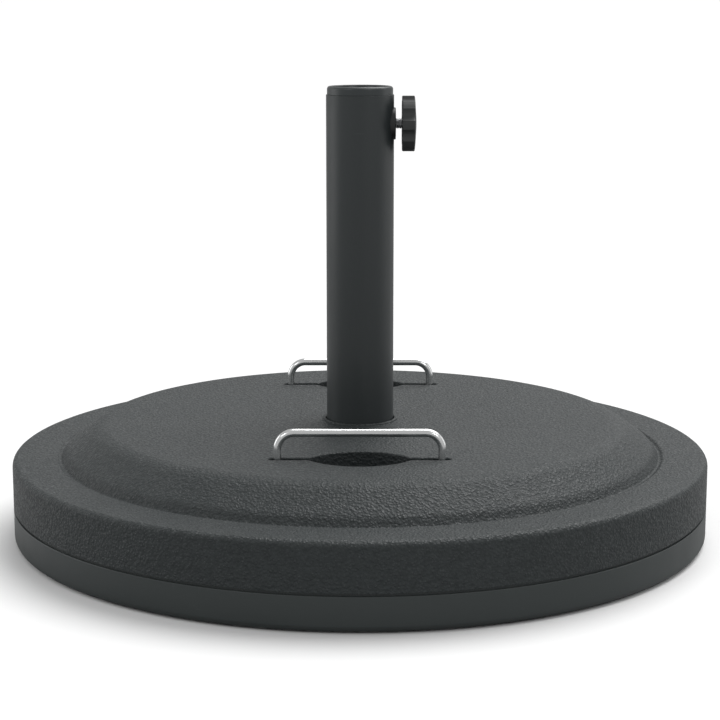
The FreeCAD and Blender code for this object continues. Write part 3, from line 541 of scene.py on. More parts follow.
def cast_concrete():
    """Ballast: grey cement with darker grit, and small air holes with painted shade inside them."""
    material, tree, shader, vector, facing = new_finish("cast_concrete")
    grit = cells(tree, vector, 210.0, "F1")
    holes = span(tree, cells(tree, vector, 95.0, "F1"), 0.06, 0.12)
    cloud = noise(tree, vector, 25.0, 6.0, 0.6)
    body = blended(tree, cloud, (0.30, 0.29, 0.27, 1), (0.46, 0.45, 0.43, 1))
    gritty = blended(tree, span(tree, grit, 0.1, 0.35), (0.18, 0.17, 0.16, 1), body)
    # the air holes are painted near black: painted shade inside the pores
    tree.links.new(blended(tree, holes, (0.08, 0.08, 0.08, 1), gritty), shader.inputs["Base Color"])
    shader.inputs["Roughness"].default_value = 0.9
    bumped(tree, shader, sums(tree, "MULTIPLY_ADD", cloud, 0.4, holes), 0.5 * MM)
    return material


def black_rubber():
    """Feet: matt rubber with a dusty bloom."""
    material, tree, shader, vector, facing = new_finish("foot_rubber")
    grain = placed(tree, PEBBLES, vector, Pebble=0.7 * MM)
    bloom = noise(tree, vector, 60.0, 4.0)
    tree.links.new(blended(tree, bloom, (0.014, 0.014, 0.014, 1), (0.04, 0.04, 0.039, 1)),
                   shader.inputs["Base Color"])
    tree.links.new(span(tree, bloom, 0.3, 0.7, 0.75, 0.9), shader.inputs["Roughness"])
    bumped(tree, shader, grain["Height"], 0.06 * MM)
    return material


def knob_plastic():
    """Knob: black glass-filled nylon with a fine spark-eroded texture and worn crests."""
    material, tree, shader, vector, facing = new_finish("knob_black_plastic")
    grain = placed(tree, PEBBLES, vector, Pebble=0.45 * MM)
    scuff = placed(tree, SCUFFS, vector, Amount=0.5)
    body = blended(tree, grain["Cloud"], (0.024, 0.026, 0.026, 1), (0.036, 0.039, 0.039, 1))
    tree.links.new(blended(tree, scuff["Mask"], body, (0.08, 0.08, 0.08, 1)), shader.inputs["Base Color"])
    tree.links.new(span(tree, grain["Height"], 0.5, 1.0, 0.6, 0.42), shader.inputs["Roughness"])
    bumped(tree, shader, grain["Height"], 0.05 * MM)
    return material


GRAINED = grained_plastic()
PAN_PLASTIC = satin_plastic("pan_satin_plastic", (0.031, 0.038, 0.038, 1), (0.038, 0.046, 0.046, 1))
COLLAR_PLASTIC = satin_plastic("collar_plastic", (0.028, 0.034, 0.0355, 1), (0.033, 0.040, 0.0415, 1),
                               gloss=(0.3, 0.4), peel=2.0 * MM, depth=0.01 * MM)
GREY_PLASTIC = satin_plastic("grey_duct_plastic", (0.10, 0.10, 0.10, 1), (0.13, 0.13, 0.13, 1))
NATURAL_NYLON = satin_plastic("natural_nylon", (0.50, 0.48, 0.42, 1), (0.58, 0.56, 0.50, 1),
                              gloss=(0.4, 0.5), scuffs=0.15)
POWDER_COAT = powder_coat("tube_powder_coat", (0.024, 0.029, 0.030, 1), (0.028, 0.034, 0.0355, 1))
BLACK_COAT = powder_coat("boss_black_coat", (0.008, 0.009, 0.009, 1), (0.012, 0.013, 0.013, 1))
POLISHED_STEEL = bright_steel("handle_polished_steel", (0.88, 0.89, 0.89, 1), (0.16, 0.26),
                              brush=(90.0, 90.0, 90.0), depth=0.002 * MM, scuffs=0.15)
ZINC_STEEL = bright_steel("zinc_plated_steel", (0.56, 0.57, 0.58, 1), (0.28, 0.45),
                          brush=(1500.0, 300.0, 300.0), depth=0.003 * MM)
CONCRETE = cast_concrete()
RUBBER = black_rubber()
KNOB_PLASTIC = knob_plastic()


# ------------------------------------------------------------------ cover and pan

BEAD_ROUND = 1 * MM
RIM_ROUND = 0.5 * MM
POCKET_FLOOR_ROUND = 1 * MM
FLARE_STEPS = 4
LEG_HOLE_RADIUS = rod_radius + 0.5 * MM
LEG_OFFSET = rod_high.x - rod_radius
LEG_HOLE_LENGTH = 16 * MM
LEG_HOLE_DROP = 12 * MM          # how far a leg hole starts below the slot's floor
LIP_INNER_ROUND = 2.5 * MM
VALLEY_ROUND = 2 * MM
SLOPE_ROUND = 15 * MM
BEAD_FOOT_ROUND = 0.15 * MM
MOUTH_OVERSHOOT = 1 * MM
SLOT_END_STEPS = 16
WELL_ARC_STEPS = 24
SCREW_CIRCLE = base_radius - 20 * MM
SCREW_COUNT = 8
SCREW_FIRST_ANGLE = 22.5
SCREW_POST_RADIUS = 6 * MM
SCREW_POST_FOOT = 5 * MM
PILOT_RADIUS = 2.05 * MM
PILOT_LENGTH = 22 * MM
PILOT_FOOT = 4 * MM
FOOT_CIRCLE = base_radius - 52 * MM
FOOT_COUNT = 4
FOOT_FIRST_ANGLE = 45
POCKET_SIDES = (-handle_offset, handle_offset)


def slot_outline(growth, centre_y):
    """Straight slot with round ends, grown on all sides."""
    radius = SLOT_RADIUS + growth
    reach = SLOT_HALF_LENGTH - SLOT_RADIUS
    points = []
    for end, start in ((1, -90), (-1, 90)):
        for step in range(SLOT_END_STEPS + 1):
            angle = math.radians(start + 180 * step / SLOT_END_STEPS)
            points.append(Vector((end * reach + radius * math.cos(angle),
                                  centre_y + radius * math.sin(angle))))
    return points


def well_outline(growth, centre_y):
    """Two equal arcs that meet in a point at each end, grown on all sides."""
    sagitta = WELL_HALF_WIDTH
    arc = (WELL_HALF_LENGTH ** 2 + sagitta ** 2) / (2 * sagitta)
    drop = arc - sagitta
    radius = arc + growth
    half = math.acos(drop / radius)
    points = []
    for side in (-1, 1):
        for step in range(WELL_ARC_STEPS):
            angle = side * math.pi / 2 - half + 2 * half * step / WELL_ARC_STEPS
            points.append(Vector((radius * math.cos(angle),
                                  centre_y - side * drop + radius * math.sin(angle))))
    return points


def stacked(levels, outline, centre_y):
    """A solid through one outline at several heights, each with its own growth."""
    shape = bmesh.new()
    rings = []
    for height, growth in levels:
        ring = [shape.verts.new((point.x, point.y, height)) for point in outline(growth, centre_y)]
        rings.append([shape.edges.new((ring[index - 1], vert)) for index, vert in enumerate(ring)])
    for lower, upper in zip(rings, rings[1:]):
        bmesh.ops.bridge_loops(shape, edges=lower + upper)
    for ring in (rings[0], rings[-1]):
        bmesh.ops.contextual_create(shape, geom=ring)
    return clean(shape)


def pocket_cutter(outline, depth, centre_y):
    """What a pocket leaves open: a softened floor, straight walls and a rounded mouth."""
    floor = plateau_height - depth
    levels = []
    for step in range(FLARE_STEPS + 1):
        angle = math.radians(90 * step / FLARE_STEPS)
        levels.append((floor + POCKET_FLOOR_ROUND * (1 - math.cos(angle)),
                       POCKET_FLOOR_ROUND * (math.sin(angle) - 1)))
    for step in range(FLARE_STEPS + 1):
        angle = math.radians(90 * step / FLARE_STEPS)
        levels.append((plateau_height - POCKET_EDGE_ROUND * (1 - math.sin(angle)),
                       POCKET_EDGE_ROUND * (1 - math.cos(angle))))
    levels.append((plateau_height + MOUTH_OVERSHOOT, POCKET_EDGE_ROUND))
    return stacked(levels, outline, centre_y)


def pocket_housing(outline, depth, centre_y):
    """The solid walls and floor round a pocket, before the pocket is cut out of them."""
    low = plateau_height - depth - POCKET_WALL
    return stacked(((low, POCKET_WALL), (plateau_height - SHELL_WALL / 2, POCKET_WALL)), outline, centre_y)


def ring_places(radius, count, first_angle):
    """Places spaced evenly round the middle."""
    turns = [math.radians(first_angle + 360 * number / count) for number in range(count)]
    return [Matrix.Translation((radius * math.cos(turn), radius * math.sin(turn), 0)) for turn in turns]


SCREW_PLACES = ring_places(SCREW_CIRCLE, SCREW_COUNT, SCREW_FIRST_ANGLE)
FOOT_PLACES = ring_places(FOOT_CIRCLE, FOOT_COUNT, FOOT_FIRST_ANGLE)


def for_both_sides(make, outline, depth):
    """The same pocket shape at the front and at the rear."""
    return gathered(*[make(outline, depth, side) for side in POCKET_SIDES])


def shell_cover():
    """Upper shell: lip, valley, shoulder and plateau, with its slots, wells, posts and leg holes."""
    under = plateau_height - SHELL_WALL
    wall_inside = base_radius - SHELL_WALL
    shape = turned([
        (neck_radius, plateau_height - NECK_DEPTH, RIM_ROUND),
        (neck_radius + SHELL_WALL, plateau_height - NECK_DEPTH, RIM_ROUND),
        (neck_radius + SHELL_WALL, under),
        (plateau_radius - SHELL_WALL / 2, under, SHOULDER_ROUND - SHELL_WALL),
        (slope_radius - SHELL_WALL, slope_height - SHELL_WALL / 2),
        (valley_radius - SHELL_WALL, valley_height - SHELL_WALL),
        (lip_inner, lip_height - SHELL_WALL),
        (wall_inside, lip_height - SHELL_WALL),
        (wall_inside, SEAM_HIGH),
        (base_radius, SEAM_HIGH, RIM_ROUND),
        (base_radius, lip_height, LIP_EDGE_ROUND),
        (lip_inner, lip_height, LIP_INNER_ROUND),
        (valley_radius, valley_height, VALLEY_ROUND),
        (slope_radius, slope_height, SLOPE_ROUND),
        (plateau_radius, plateau_height, SHOULDER_ROUND),
        (neck_radius + BEAD_WIDTH, plateau_height, BEAD_FOOT_ROUND),
        (neck_radius + BEAD_WIDTH, plateau_height + BEAD_HEIGHT, BEAD_ROUND),
        (neck_radius, plateau_height + BEAD_HEIGHT, BEAD_ROUND),
    ], ROUND_STEPS)
    post_length = lip_height - SHELL_WALL / 2 - SCREW_POST_FOOT
    posts = copied(rod(SCREW_POST_RADIUS, post_length, UP * SCREW_POST_FOOT, UP), SCREW_PLACES)
    housings = [gathered(for_both_sides(pocket_housing, slot_outline, SLOT_DEPTH), posts),
                for_both_sides(pocket_housing, well_outline, WELL_DEPTH)]
    shape = combine(shape, housings, "UNION")
    slots = for_both_sides(pocket_cutter, slot_outline, SLOT_DEPTH)
    wells = for_both_sides(pocket_cutter, well_outline, WELL_DEPTH)
    hole_foot = plateau_height - SLOT_DEPTH - LEG_HOLE_DROP
    hole_places = [Vector((end * LEG_OFFSET, side, hole_foot)) for side in POCKET_SIDES for end in (-1, 1)]
    leg_holes = gathered(*[rod(LEG_HOLE_RADIUS, LEG_HOLE_LENGTH, place, UP) for place in hole_places])
    pilots = copied(rod(PILOT_RADIUS, PILOT_LENGTH, UP * PILOT_FOOT, UP), SCREW_PLACES)
    return combine(shape, [slots, wells, gathered(leg_holes, pilots)], "DIFFERENCE")


RECESS_RADIUS = 34 * MM
RECESS_CEILING = 16 * MM
PANEL_INNER = 60 * MM
PANEL_OUTER = base_radius - 78 * MM
PANEL_DEPTH = 2 * MM
PLUG_PLACE = Vector((-120 * MM, 0, 0))
TONGUE_OUTER = 265.7 * MM
TONGUE_INNER = 263.2 * MM
TONGUE_TOP = 36 * MM
PAN_WALL = 4 * MM
RECESS_ROOF = 20 * MM
BOLT_HOLE_RADIUS = 6.3 * MM
RIB_COUNT = 8
RIB_WIDTH = 3 * MM
RIB_HEIGHT = 2.6 * MM
RIB_MIDDLE = 1.8 * MM
RIB_OVERLAP = 2 * MM
SCREW_HOLE_RADIUS = 2.25 * MM
SCREW_SEAT_RADIUS = 4.25 * MM
SCREW_SEAT_DEPTH = 4.2 * MM
PAN_CUT = 12 * MM                # longer than the pan is thick
FOOT_SEAT_RADIUS = 16.2 * MM
FOOT_SEAT_DEPTH = 3 * MM
PLUG_HOLE_RADIUS = 24.2 * MM
PLUG_SEAT_RADIUS = 28.2 * MM
PLUG_SEAT_DEPTH = 5 * MM


def shell_pan():
    """Lower shell: flat underside with a ribbed sunk ring, a recess for the bolt and a tongue."""
    low = pan_bottom
    inside = low + PAN_WALL
    shape = turned([
        (BOLT_HOLE_RADIUS, RECESS_CEILING),
        (RECESS_RADIUS, RECESS_CEILING),
        (RECESS_RADIUS, low, RIM_ROUND),
        (PANEL_INNER, low, RIM_ROUND),
        (PANEL_INNER, low + PANEL_DEPTH, RIM_ROUND),
        (PANEL_OUTER, low + PANEL_DEPTH, RIM_ROUND),
        (PANEL_OUTER, low, RIM_ROUND),
        (base_radius, low, PAN_EDGE_ROUND),
        (base_radius, SEAM_LOW, RIM_ROUND),
        (base_radius - SEAM_DEPTH, SEAM_LOW),
        (base_radius - SEAM_DEPTH, SEAM_HIGH),
        (TONGUE_OUTER, SEAM_HIGH),
        (TONGUE_OUTER, TONGUE_TOP),
        (TONGUE_INNER, TONGUE_TOP),
        (TONGUE_INNER, inside),
        (RECESS_RADIUS + PAN_WALL, inside),
        (RECESS_RADIUS + PAN_WALL, RECESS_ROOF),
        (BOLT_HOLE_RADIUS, RECESS_ROOF),
    ], ROUND_STEPS)
    # stiffening ribs across the sunk ring of the underside
    rib = bmesh.new()
    bmesh.ops.create_cube(rib, size=1)
    length = PANEL_OUTER - PANEL_INNER + RIB_OVERLAP
    bmesh.ops.scale(rib, verts=rib.verts, vec=(length, RIB_WIDTH, RIB_HEIGHT))
    bmesh.ops.translate(rib, verts=rib.verts, vec=((PANEL_OUTER + PANEL_INNER) / 2, 0, low + RIB_MIDDLE))
    ribs = copied(rib, [Matrix.Rotation(FULL_TURN * (number + 0.5) / RIB_COUNT, 4, "Z")
                        for number in range(RIB_COUNT)])
    shape = combine(shape, [ribs], "UNION")
    holes = copied(rod(SCREW_HOLE_RADIUS, PAN_CUT, Vector(), UP), SCREW_PLACES)
    seats = copied(rod(SCREW_SEAT_RADIUS, SCREW_SEAT_DEPTH, Vector(), UP), SCREW_PLACES)
    feet = copied(rod(FOOT_SEAT_RADIUS, FOOT_SEAT_DEPTH, Vector(), UP), FOOT_PLACES)
    fill_hole = rod(PLUG_HOLE_RADIUS, PAN_CUT, PLUG_PLACE, UP)
    fill_seat = rod(PLUG_SEAT_RADIUS, PLUG_SEAT_DEPTH, PLUG_PLACE, UP)
    return combine(shape, [gathered(holes, fill_hole), gathered(seats, feet, fill_seat)], "DIFFERENCE")


FOOT_RADIUS = 16 * MM
FOOT_HEIGHT = 3 * MM
FOOT_EDGE_ROUND = 0.8 * MM
GRIP_GROOVES = (5.2 * MM, 10.2 * MM)
GROOVE_SLANT = 0.3 * MM
GROOVE_FLOOR = 1 * MM
GROOVE_DEPTH = 0.5 * MM
GROOVE_ROUND = 0.2 * MM


def rubber_foot():
    """Foot with two grip grooves in its tread."""
    corners = [(0, 0)]
    for start in GRIP_GROOVES:
        end = start + 2 * GROOVE_SLANT + GROOVE_FLOOR
        corners += [(start, 0, GROOVE_ROUND), (start + GROOVE_SLANT, GROOVE_DEPTH),
                    (end - GROOVE_SLANT, GROOVE_DEPTH), (end, 0, GROOVE_ROUND)]
    corners += [(FOOT_RADIUS, 0, FOOT_EDGE_ROUND), (FOOT_RADIUS, FOOT_HEIGHT), (0, FOOT_HEIGHT)]
    return turned(corners, SMALL_STEPS)


def cross_outline(arm, half_width):
    """A plus sign in plan."""
    quarter = [Vector((half_width, half_width)), Vector((half_width, arm)), Vector((-half_width, arm))]
    return [Matrix.Rotation(math.radians(90 * turn), 2) @ point for turn in range(4) for point in quarter]


SCREW_HEAD_LOW = 1.6 * MM
SCREW_HEAD_RADIUS = 4 * MM
SCREW_HEAD_HEIGHT = 2.6 * MM
SCREW_DOME_ROUND = 1.2 * MM
SCREW_SHANK_RADIUS = 1.6 * MM
SCREW_SHANK_TOP = 22 * MM
SCREW_POINT = 24 * MM
CROSS_ARM = 2.3 * MM
CROSS_HALF_WIDTH = 0.45 * MM
CROSS_DEPTH = 1.6 * MM


def shell_screw():
    """Self-tapping screw: domed head with a cross recess, and a threaded shank."""
    head_high = SCREW_HEAD_LOW + SCREW_HEAD_HEIGHT
    head = turned([
        (0, SCREW_HEAD_LOW), (SCREW_HEAD_RADIUS, SCREW_HEAD_LOW, SCREW_DOME_ROUND),
        (SCREW_HEAD_RADIUS, head_high, 0.2 * MM), (SCREW_SHANK_RADIUS, head_high),
        (SCREW_SHANK_RADIUS, SCREW_SHANK_TOP), (0, SCREW_POINT),
    ], SMALL_STEPS // 2)
    recess = plate(cross_outline(CROSS_ARM, CROSS_HALF_WIDTH), 0, SCREW_HEAD_LOW + CROSS_DEPTH)
    head = combine(head, [recess], "DIFFERENCE")
    thread = helix(root=1.55 * MM, crest=2 * MM, pitch=1.4 * MM, base_width=1 * MM, start=5.2 * MM,
                   steps=16, turns=11)
    return gathered(head, thread)


def helix(root, crest, pitch, base_width, start, steps, turns):
    """A thread: a small ridge wound up along +Z."""
    shape = bmesh.new()
    ridge = [(root, 0), (crest, base_width * 0.42), (crest, base_width * 0.58), (root, base_width)]
    ring = [shape.verts.new((radius, 0, start + rise)) for radius, rise in ridge]
    face = shape.faces.new(ring)
    bmesh.ops.spin(shape, geom=[face] + list(face.edges) + ring, cent=Vector(), axis=UP,
                   dvec=UP * (pitch / steps), angle=FULL_TURN * turns, steps=steps * turns, use_merge=False,
                   use_normal_flip=False, use_duplicate=False)
    return clean(shape)


def pry_disc(radius, low, corners):
    """A turned cap with a shallow notch at its rim to lift it by."""
    shape = turned(corners, TUBE_STEPS)
    notch = bmesh.new()
    bmesh.ops.create_cube(notch, size=1)
    bmesh.ops.scale(notch, verts=notch.verts, vec=(3 * MM, 8 * MM, 2 * MM))
    bmesh.ops.translate(notch, verts=notch.verts, vec=(radius, 0, low))
    return combine(shape, [notch], "DIFFERENCE")


def filling_plug():
    """Cap over the hole that the concrete is poured through."""
    low = pan_bottom + PANEL_DEPTH
    shape = pry_disc(28 * MM, low, [
        (0, low + 0.6 * MM), (17 * MM, low + 0.6 * MM, 0.3 * MM), (18 * MM, low, 0.3 * MM),
        (28 * MM, low, 0.4 * MM), (28 * MM, low + 2 * MM), (24 * MM, low + 2 * MM),
        (24 * MM, 12 * MM, 1 * MM), (0, 12 * MM),
    ])
    bmesh.ops.translate(shape, verts=shape.verts, vec=PLUG_PLACE)
    return shape


def bolt_cap():
    """Cap over the bolt's recess."""
    low = pan_bottom
    outer = RECESS_RADIUS - 0.2 * MM
    return pry_disc(outer, low, [
        (0, low + 0.8 * MM), (20 * MM, low + 0.8 * MM, 0.4 * MM), (21 * MM, low, 0.4 * MM),
        (outer, low, 0.5 * MM), (outer, 13 * MM, 0.4 * MM), (outer - 2.5 * MM, 13 * MM, 0.4 * MM),
        (outer - 2.5 * MM, low + 2.5 * MM), (0, low + 2.5 * MM),
    ])


piece("cover", shell_cover(), "base", "shell_plastic", GRAINED, "top_shell")
piece("pan", shell_pan(), "base", "pan_plastic", PAN_PLASTIC, "bottom_pan")
piece("feet", copied(rubber_foot(), FOOT_PLACES), "base", "foot_rubber", RUBBER, "rubber_feet")
piece("cover_screws", copied(shell_screw(), SCREW_PLACES), "base", "zinc_steel", ZINC_STEEL,
      "shell_screws")
piece("filling_cap", filling_plug(), "base", "pan_plastic", PAN_PLASTIC, "fill_plug")
piece("bolt_recess_cap", bolt_cap(), "base", "pan_plastic", PAN_PLASTIC, "bolt_cover")


# ------------------------------------------------------------------ tube and collar

TUBE_WALL = 1.5 * MM
TUBE_END_ROUND = 0.2 * MM
BOSS_SPIGOT = 7 * MM
FUNNEL_FLARE = 2.6 * MM
FUNNEL_DEPTH = 9 * MM
COLLAR_ROUND = 2.2 * MM
SLEEVE_BORE = 19.5 * MM
SCREW_SLOT_HALF = 5.2 * MM
SCREW_SLOT_SPAN = (10 * MM, 30 * MM)
COLLAR_GAP = 0.3 * MM
COLLAR_SEAT = 0.1 * MM


def upright_tube():
    """Tube with a window for the clamp's boss."""
    inner = tube_radius - TUBE_WALL
    shape = turned([
        (inner, tube_low.z, TUBE_END_ROUND), (tube_radius, tube_low.z, TUBE_END_ROUND),
        (tube_radius, tube_high.z, TUBE_END_ROUND), (inner, tube_high.z, TUBE_END_ROUND),
    ], TUBE_STEPS)
    window = rod(BOSS_SPIGOT, tube_radius + 2 * MM, Vector((0, 0, clamp_height)), ALONG_X)
    return combine(shape, [window], "DIFFERENCE")


def collar_sleeve():
    """Reducer sleeve: rounded rim, funnel mouth, and a slot open at the foot that clears the stud."""
    top = sleeve_high.z
    foot = sleeve_low.z
    skirt = tube_radius - TUBE_WALL - COLLAR_GAP
    shoulder = tube_high.z + COLLAR_SEAT
    collar = sleeve_high.x
    shape = turned([
        (SLEEVE_BORE, foot, 0.6 * MM), (skirt, foot, 0.8 * MM), (skirt, shoulder),
        (collar, shoulder, 0.1 * MM), (collar, top, COLLAR_ROUND),
        (SLEEVE_BORE + FUNNEL_FLARE, top, 1 * MM), (SLEEVE_BORE, top - FUNNEL_DEPTH, 2 * MM),
    ], TUBE_STEPS)
    half = SCREW_SLOT_HALF
    slot_foot = -(clamp_height - foot + 1 * MM)
    slot = plate(softened([(-half, slot_foot), (half, slot_foot), (half, half, half * 0.98),
                           (-half, half, half * 0.98)]), *SCREW_SLOT_SPAN)
    # the outline was drawn flat, so stand it up to face the clamp
    stand = Matrix(((0, 0, 1, 0), (1, 0, 0, 0), (0, 1, 0, clamp_height), (0, 0, 0, 1)))
    bmesh.ops.transform(slot, matrix=stand, verts=slot.verts)
    return combine(shape, [slot], "DIFFERENCE")


piece("tube", upright_tube(), "base", "coated_steel", POWDER_COAT, "pole_tube")
piece("collar", collar_sleeve(), "reducer", "collar_plastic", COLLAR_PLASTIC, "reducer_sleeve")


# ------------------------------------------------------------------ clamp

STUD_RADIUS = 4 * MM
STUD_ROOT = 3.35 * MM
THREAD_PITCH = 1.25 * MM
TIP_BORE_RADIUS = 1.55 * MM
TIP_BORE_DEPTH = 4.05 * MM
KNOB_ROUND = 1.1 * MM
KNOB_CROWN = 0.8 * MM
KNOB_LOBES = 8
FLUTE_RADIUS = 6 * MM
FLUTE_DEPTH = 3.2 * MM
FLUTE_EASE = 2 * MM
CAP_RADIUS = 9.5 * MM
HEAD_ACROSS = 13 * MM            # across the flats of the stud's hexagon
HEAD_HEIGHT = 5.3 * MM
PRESS_GAP = 0.05 * MM
CAP_SEAT_DEPTH = 1.6 * MM
GROOVE_INNER = 14.2 * MM
GROOVE_OUTER = 15.4 * MM
BACK_GROOVE_DEPTH = 0.7 * MM
CROWN_RINGS = ((0.94, 0.2), (0.86, 0.22), (0.76, 0.22), (0.64, 0.2), (0.5, 0.16))
TO_CLAMP = Matrix(((0, 0, 1, 0), (0, 1, 0, 0), (-1, 0, 0, clamp_height), (0, 0, 0, 1)))


def on_clamp(shape):
    """Move a shape drawn upright onto the clamp's axis, its height now running outwards."""
    bmesh.ops.transform(shape, matrix=TO_CLAMP, verts=shape.verts)
    return shape


def knob_outline(radius, count=240):
    """Round outline with eight finger flutes whose edges are eased."""
    reach = radius + FLUTE_RADIUS - FLUTE_DEPTH
    points = []
    for step in range(count):
        angle = FULL_TURN * step / count
        off = (angle * KNOB_LOBES / FULL_TURN) % 1 - 0.5
        side = reach * math.sin(off * FULL_TURN / KNOB_LOBES)
        flute = radius
        if abs(side) < FLUTE_RADIUS:
            middle = reach * math.cos(off * FULL_TURN / KNOB_LOBES)
            flute = middle - math.sqrt(FLUTE_RADIUS ** 2 - side ** 2)
        gap = max(FLUTE_EASE - abs(radius - flute), 0) / FLUTE_EASE
        distance = min(radius, flute) - gap * gap * FLUTE_EASE / 4
        points.append(Vector((distance * math.cos(angle), distance * math.sin(angle))))
    return points


def hand_knob():
    """Fluted knob with a crowned face, and seats for its cap and for the stud's head."""
    radius = (knob_high.y - knob_low.y) / 2
    face = knob_low.x
    crown = knob_high.x
    shape = plate(knob_outline(radius), face, crown - KNOB_CROWN)
    soften_edges(shape, KNOB_ROUND, 4, lambda edge: abs(edge.verts[0].co.z - edge.verts[1].co.z) < 1e-7
                 and edge.calc_face_angle() > 1)
    # raise the outer face to a crown, ring by ring
    top = max(shape.faces, key=lambda face: (round(face.calc_center_median().z, 5), face.calc_area()))
    flat_radius = radius - KNOB_ROUND
    for narrower, lift in CROWN_RINGS:
        top, corners = pulled(shape, top)
        bmesh.ops.translate(shape, verts=corners, vec=UP * (KNOB_CROWN * lift))
        shrink = narrower * flat_radius / max(corner.co.xy.length for corner in corners)
        bmesh.ops.scale(shape, verts=corners, vec=(shrink, shrink, 1))
    seat = rod(CAP_RADIUS + PRESS_GAP, 6 * MM, UP * (crown - CAP_SEAT_DEPTH), UP)
    bore = rod(STUD_RADIUS + PRESS_GAP, 30 * MM, UP * (face - 5 * MM), UP)
    head_room = rod((HEAD_ACROSS + 2 * PRESS_GAP) / math.sqrt(3), HEAD_HEIGHT,
                    UP * (crown - CAP_SEAT_DEPTH - HEAD_HEIGHT), UP, 6)
    groove_end = face + BACK_GROOVE_DEPTH
    ring_groove = turned([(GROOVE_INNER, face - 1 * MM), (GROOVE_OUTER, face - 1 * MM),
                          (GROOVE_OUTER, groove_end), (GROOVE_INNER, groove_end)], SMALL_STEPS * 2)
    shape = combine(shape, [seat, gathered(head_room, ring_groove), bore], "DIFFERENCE")
    return on_clamp(shape)


def crown_cap():
    """Low domed cap over the stud's head."""
    low = cap_low.x
    high = cap_high.x
    return on_clamp(turned([
        (0, low), (CAP_RADIUS, low), (CAP_RADIUS, high - 0.35 * MM, 0.3 * MM),
        (CAP_RADIUS - 1.8 * MM, high - 0.2 * MM, 1 * MM), (4.6 * MM, high, 4 * MM), (0, high),
    ], SMALL_STEPS))


def threaded_stud():
    """Stud with its rolled thread, a drilled tip and a hexagon head."""
    tip = stud_low.x
    head = stud_high.x - HEAD_HEIGHT
    bore_end = tip + TIP_BORE_DEPTH
    stem = turned([
        (TIP_BORE_RADIUS, tip), (STUD_ROOT, tip, 0.3 * MM), (STUD_ROOT, head - 1.5 * MM),
        (STUD_RADIUS, head - 1 * MM), (STUD_RADIUS, head), (0, head), (0, bore_end),
        (TIP_BORE_RADIUS, bore_end),
    ], SMALL_STEPS)
    turns = int((head - 2.2 * MM - tip) / THREAD_PITCH)
    thread = helix(STUD_ROOT - PRESS_GAP, STUD_RADIUS, THREAD_PITCH, 0.95 * THREAD_PITCH, tip + 0.3 * MM,
                   32, turns)
    hexagon = rod(HEAD_ACROSS / math.sqrt(3), HEAD_HEIGHT, UP * head, UP, 6)
    return on_clamp(gathered(stem, thread, hexagon))


piece("knob", hand_knob(), "clamp_turning", "knob_plastic", KNOB_PLASTIC, "clamp_knob")
piece("knob_crown_cap", crown_cap(), "clamp_turning", "knob_plastic", KNOB_PLASTIC, "knob_cap")
piece("stud", threaded_stud(), "clamp_turning", "zinc_steel", ZINC_STEEL, "clamp_screw")


# ------------------------------------------------------------------ carry handles

HANDLE_BEND = 12 * MM
ROD_FACES = 40
BEND_STEPS = 20


def carry_handle(centre_y):
    """Bent rod: up one leg, round a bend, along the bar and down the other leg."""
    shape = bmesh.new()
    foot = rod_low.z
    bend_height = rod_high.z - rod_radius - HANDLE_BEND
    reach = LEG_OFFSET - HANDLE_BEND
    place = Matrix.Translation((-LEG_OFFSET, centre_y, foot))
    bmesh.ops.create_circle(shape, cap_ends=True, radius=rod_radius, segments=ROD_FACES, matrix=place)
    front, corners = pulled(shape, list(shape.faces)[0], first=True)
    bmesh.ops.translate(shape, verts=corners, vec=UP * (bend_height - foot))
    for end in (-1, 1):
        for step in range(BEND_STEPS):
            front, corners = pulled(shape, front)
            bmesh.ops.rotate(shape, verts=corners, cent=Vector((end * reach, centre_y, bend_height)),
                             matrix=Matrix.Rotation(math.radians(90 / BEND_STEPS), 3, "Y"))
        front, corners = pulled(shape, front)
        along = ALONG_X * 2 * reach if end < 0 else UP * (foot - bend_height)
        bmesh.ops.translate(shape, verts=corners, vec=along)
    return clean(shape)


piece("front_carry_handle", carry_handle(-handle_offset), "front_grip", "handle_steel", POLISHED_STEEL,
      "front_handle")
piece("rear_carry_handle", carry_handle(handle_offset), "rear_grip", "handle_steel", POLISHED_STEEL,
      "rear_handle")


# ------------------------------------------------------------------ pieces whose frame shape is right

KEPT = {
    "concrete_ballast": CONCRETE,
    "tube_liner": GREY_PLASTIC,
    "guide_tubes": GREY_PLASTIC,
    "guide_bushes": NATURAL_NYLON,
    "clamp_tip": NATURAL_NYLON,
    "tube_foot_disc": POWDER_COAT,
    "clamp_boss": BLACK_COAT,
    "tube_weld_nut": ZINC_STEEL,
    "tube_bolt": ZINC_STEEL,
    "tube_bolt_washer": ZINC_STEEL,
    "front_handle_stops": ZINC_STEEL,
    "rear_handle_stops": ZINC_STEEL,
}
for node_name, finish in KEPT.items():
    for material_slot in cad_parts[node_name].material_slots:
        material_slot.material = finish


# ------------------------------------------------------------------ studio

CAMERA_PLACE = Vector((0.0017, -1.4611, 0.4093))
CAMERA_PITCH = math.radians(10.722)
CAMERA_YAW = math.radians(0.068)
CAMERA_LENS = 95.07
SENSOR_WIDTH = 36
FLOOR_REACH = 400
FLOOR_BOUNCE = (0.40, 0.40, 0.40, 1)
ROOM_LIGHT = 0.5
CEILING_LIGHT = 2.3
CEILING_SPREAD = math.radians(48)
CEILING_TILT = (math.radians(-24), math.radians(20), 0)
# name, place, height that it is aimed at, width, power
SOFT_BOXES = (
    ("left_box", (-1.6, 0.3, 0.55), 0.15, 1.0, 4),
    ("front_left_box", (-1.3, -1.5, 1.3), 0.08, 0.5, 3.5),
    ("front_right_box", (1.1, -1.6, 1.2), 0.08, 0.5, 4),
    ("right_box", (1.6, 0.3, 0.55), 0.15, 1.0, 2),
)


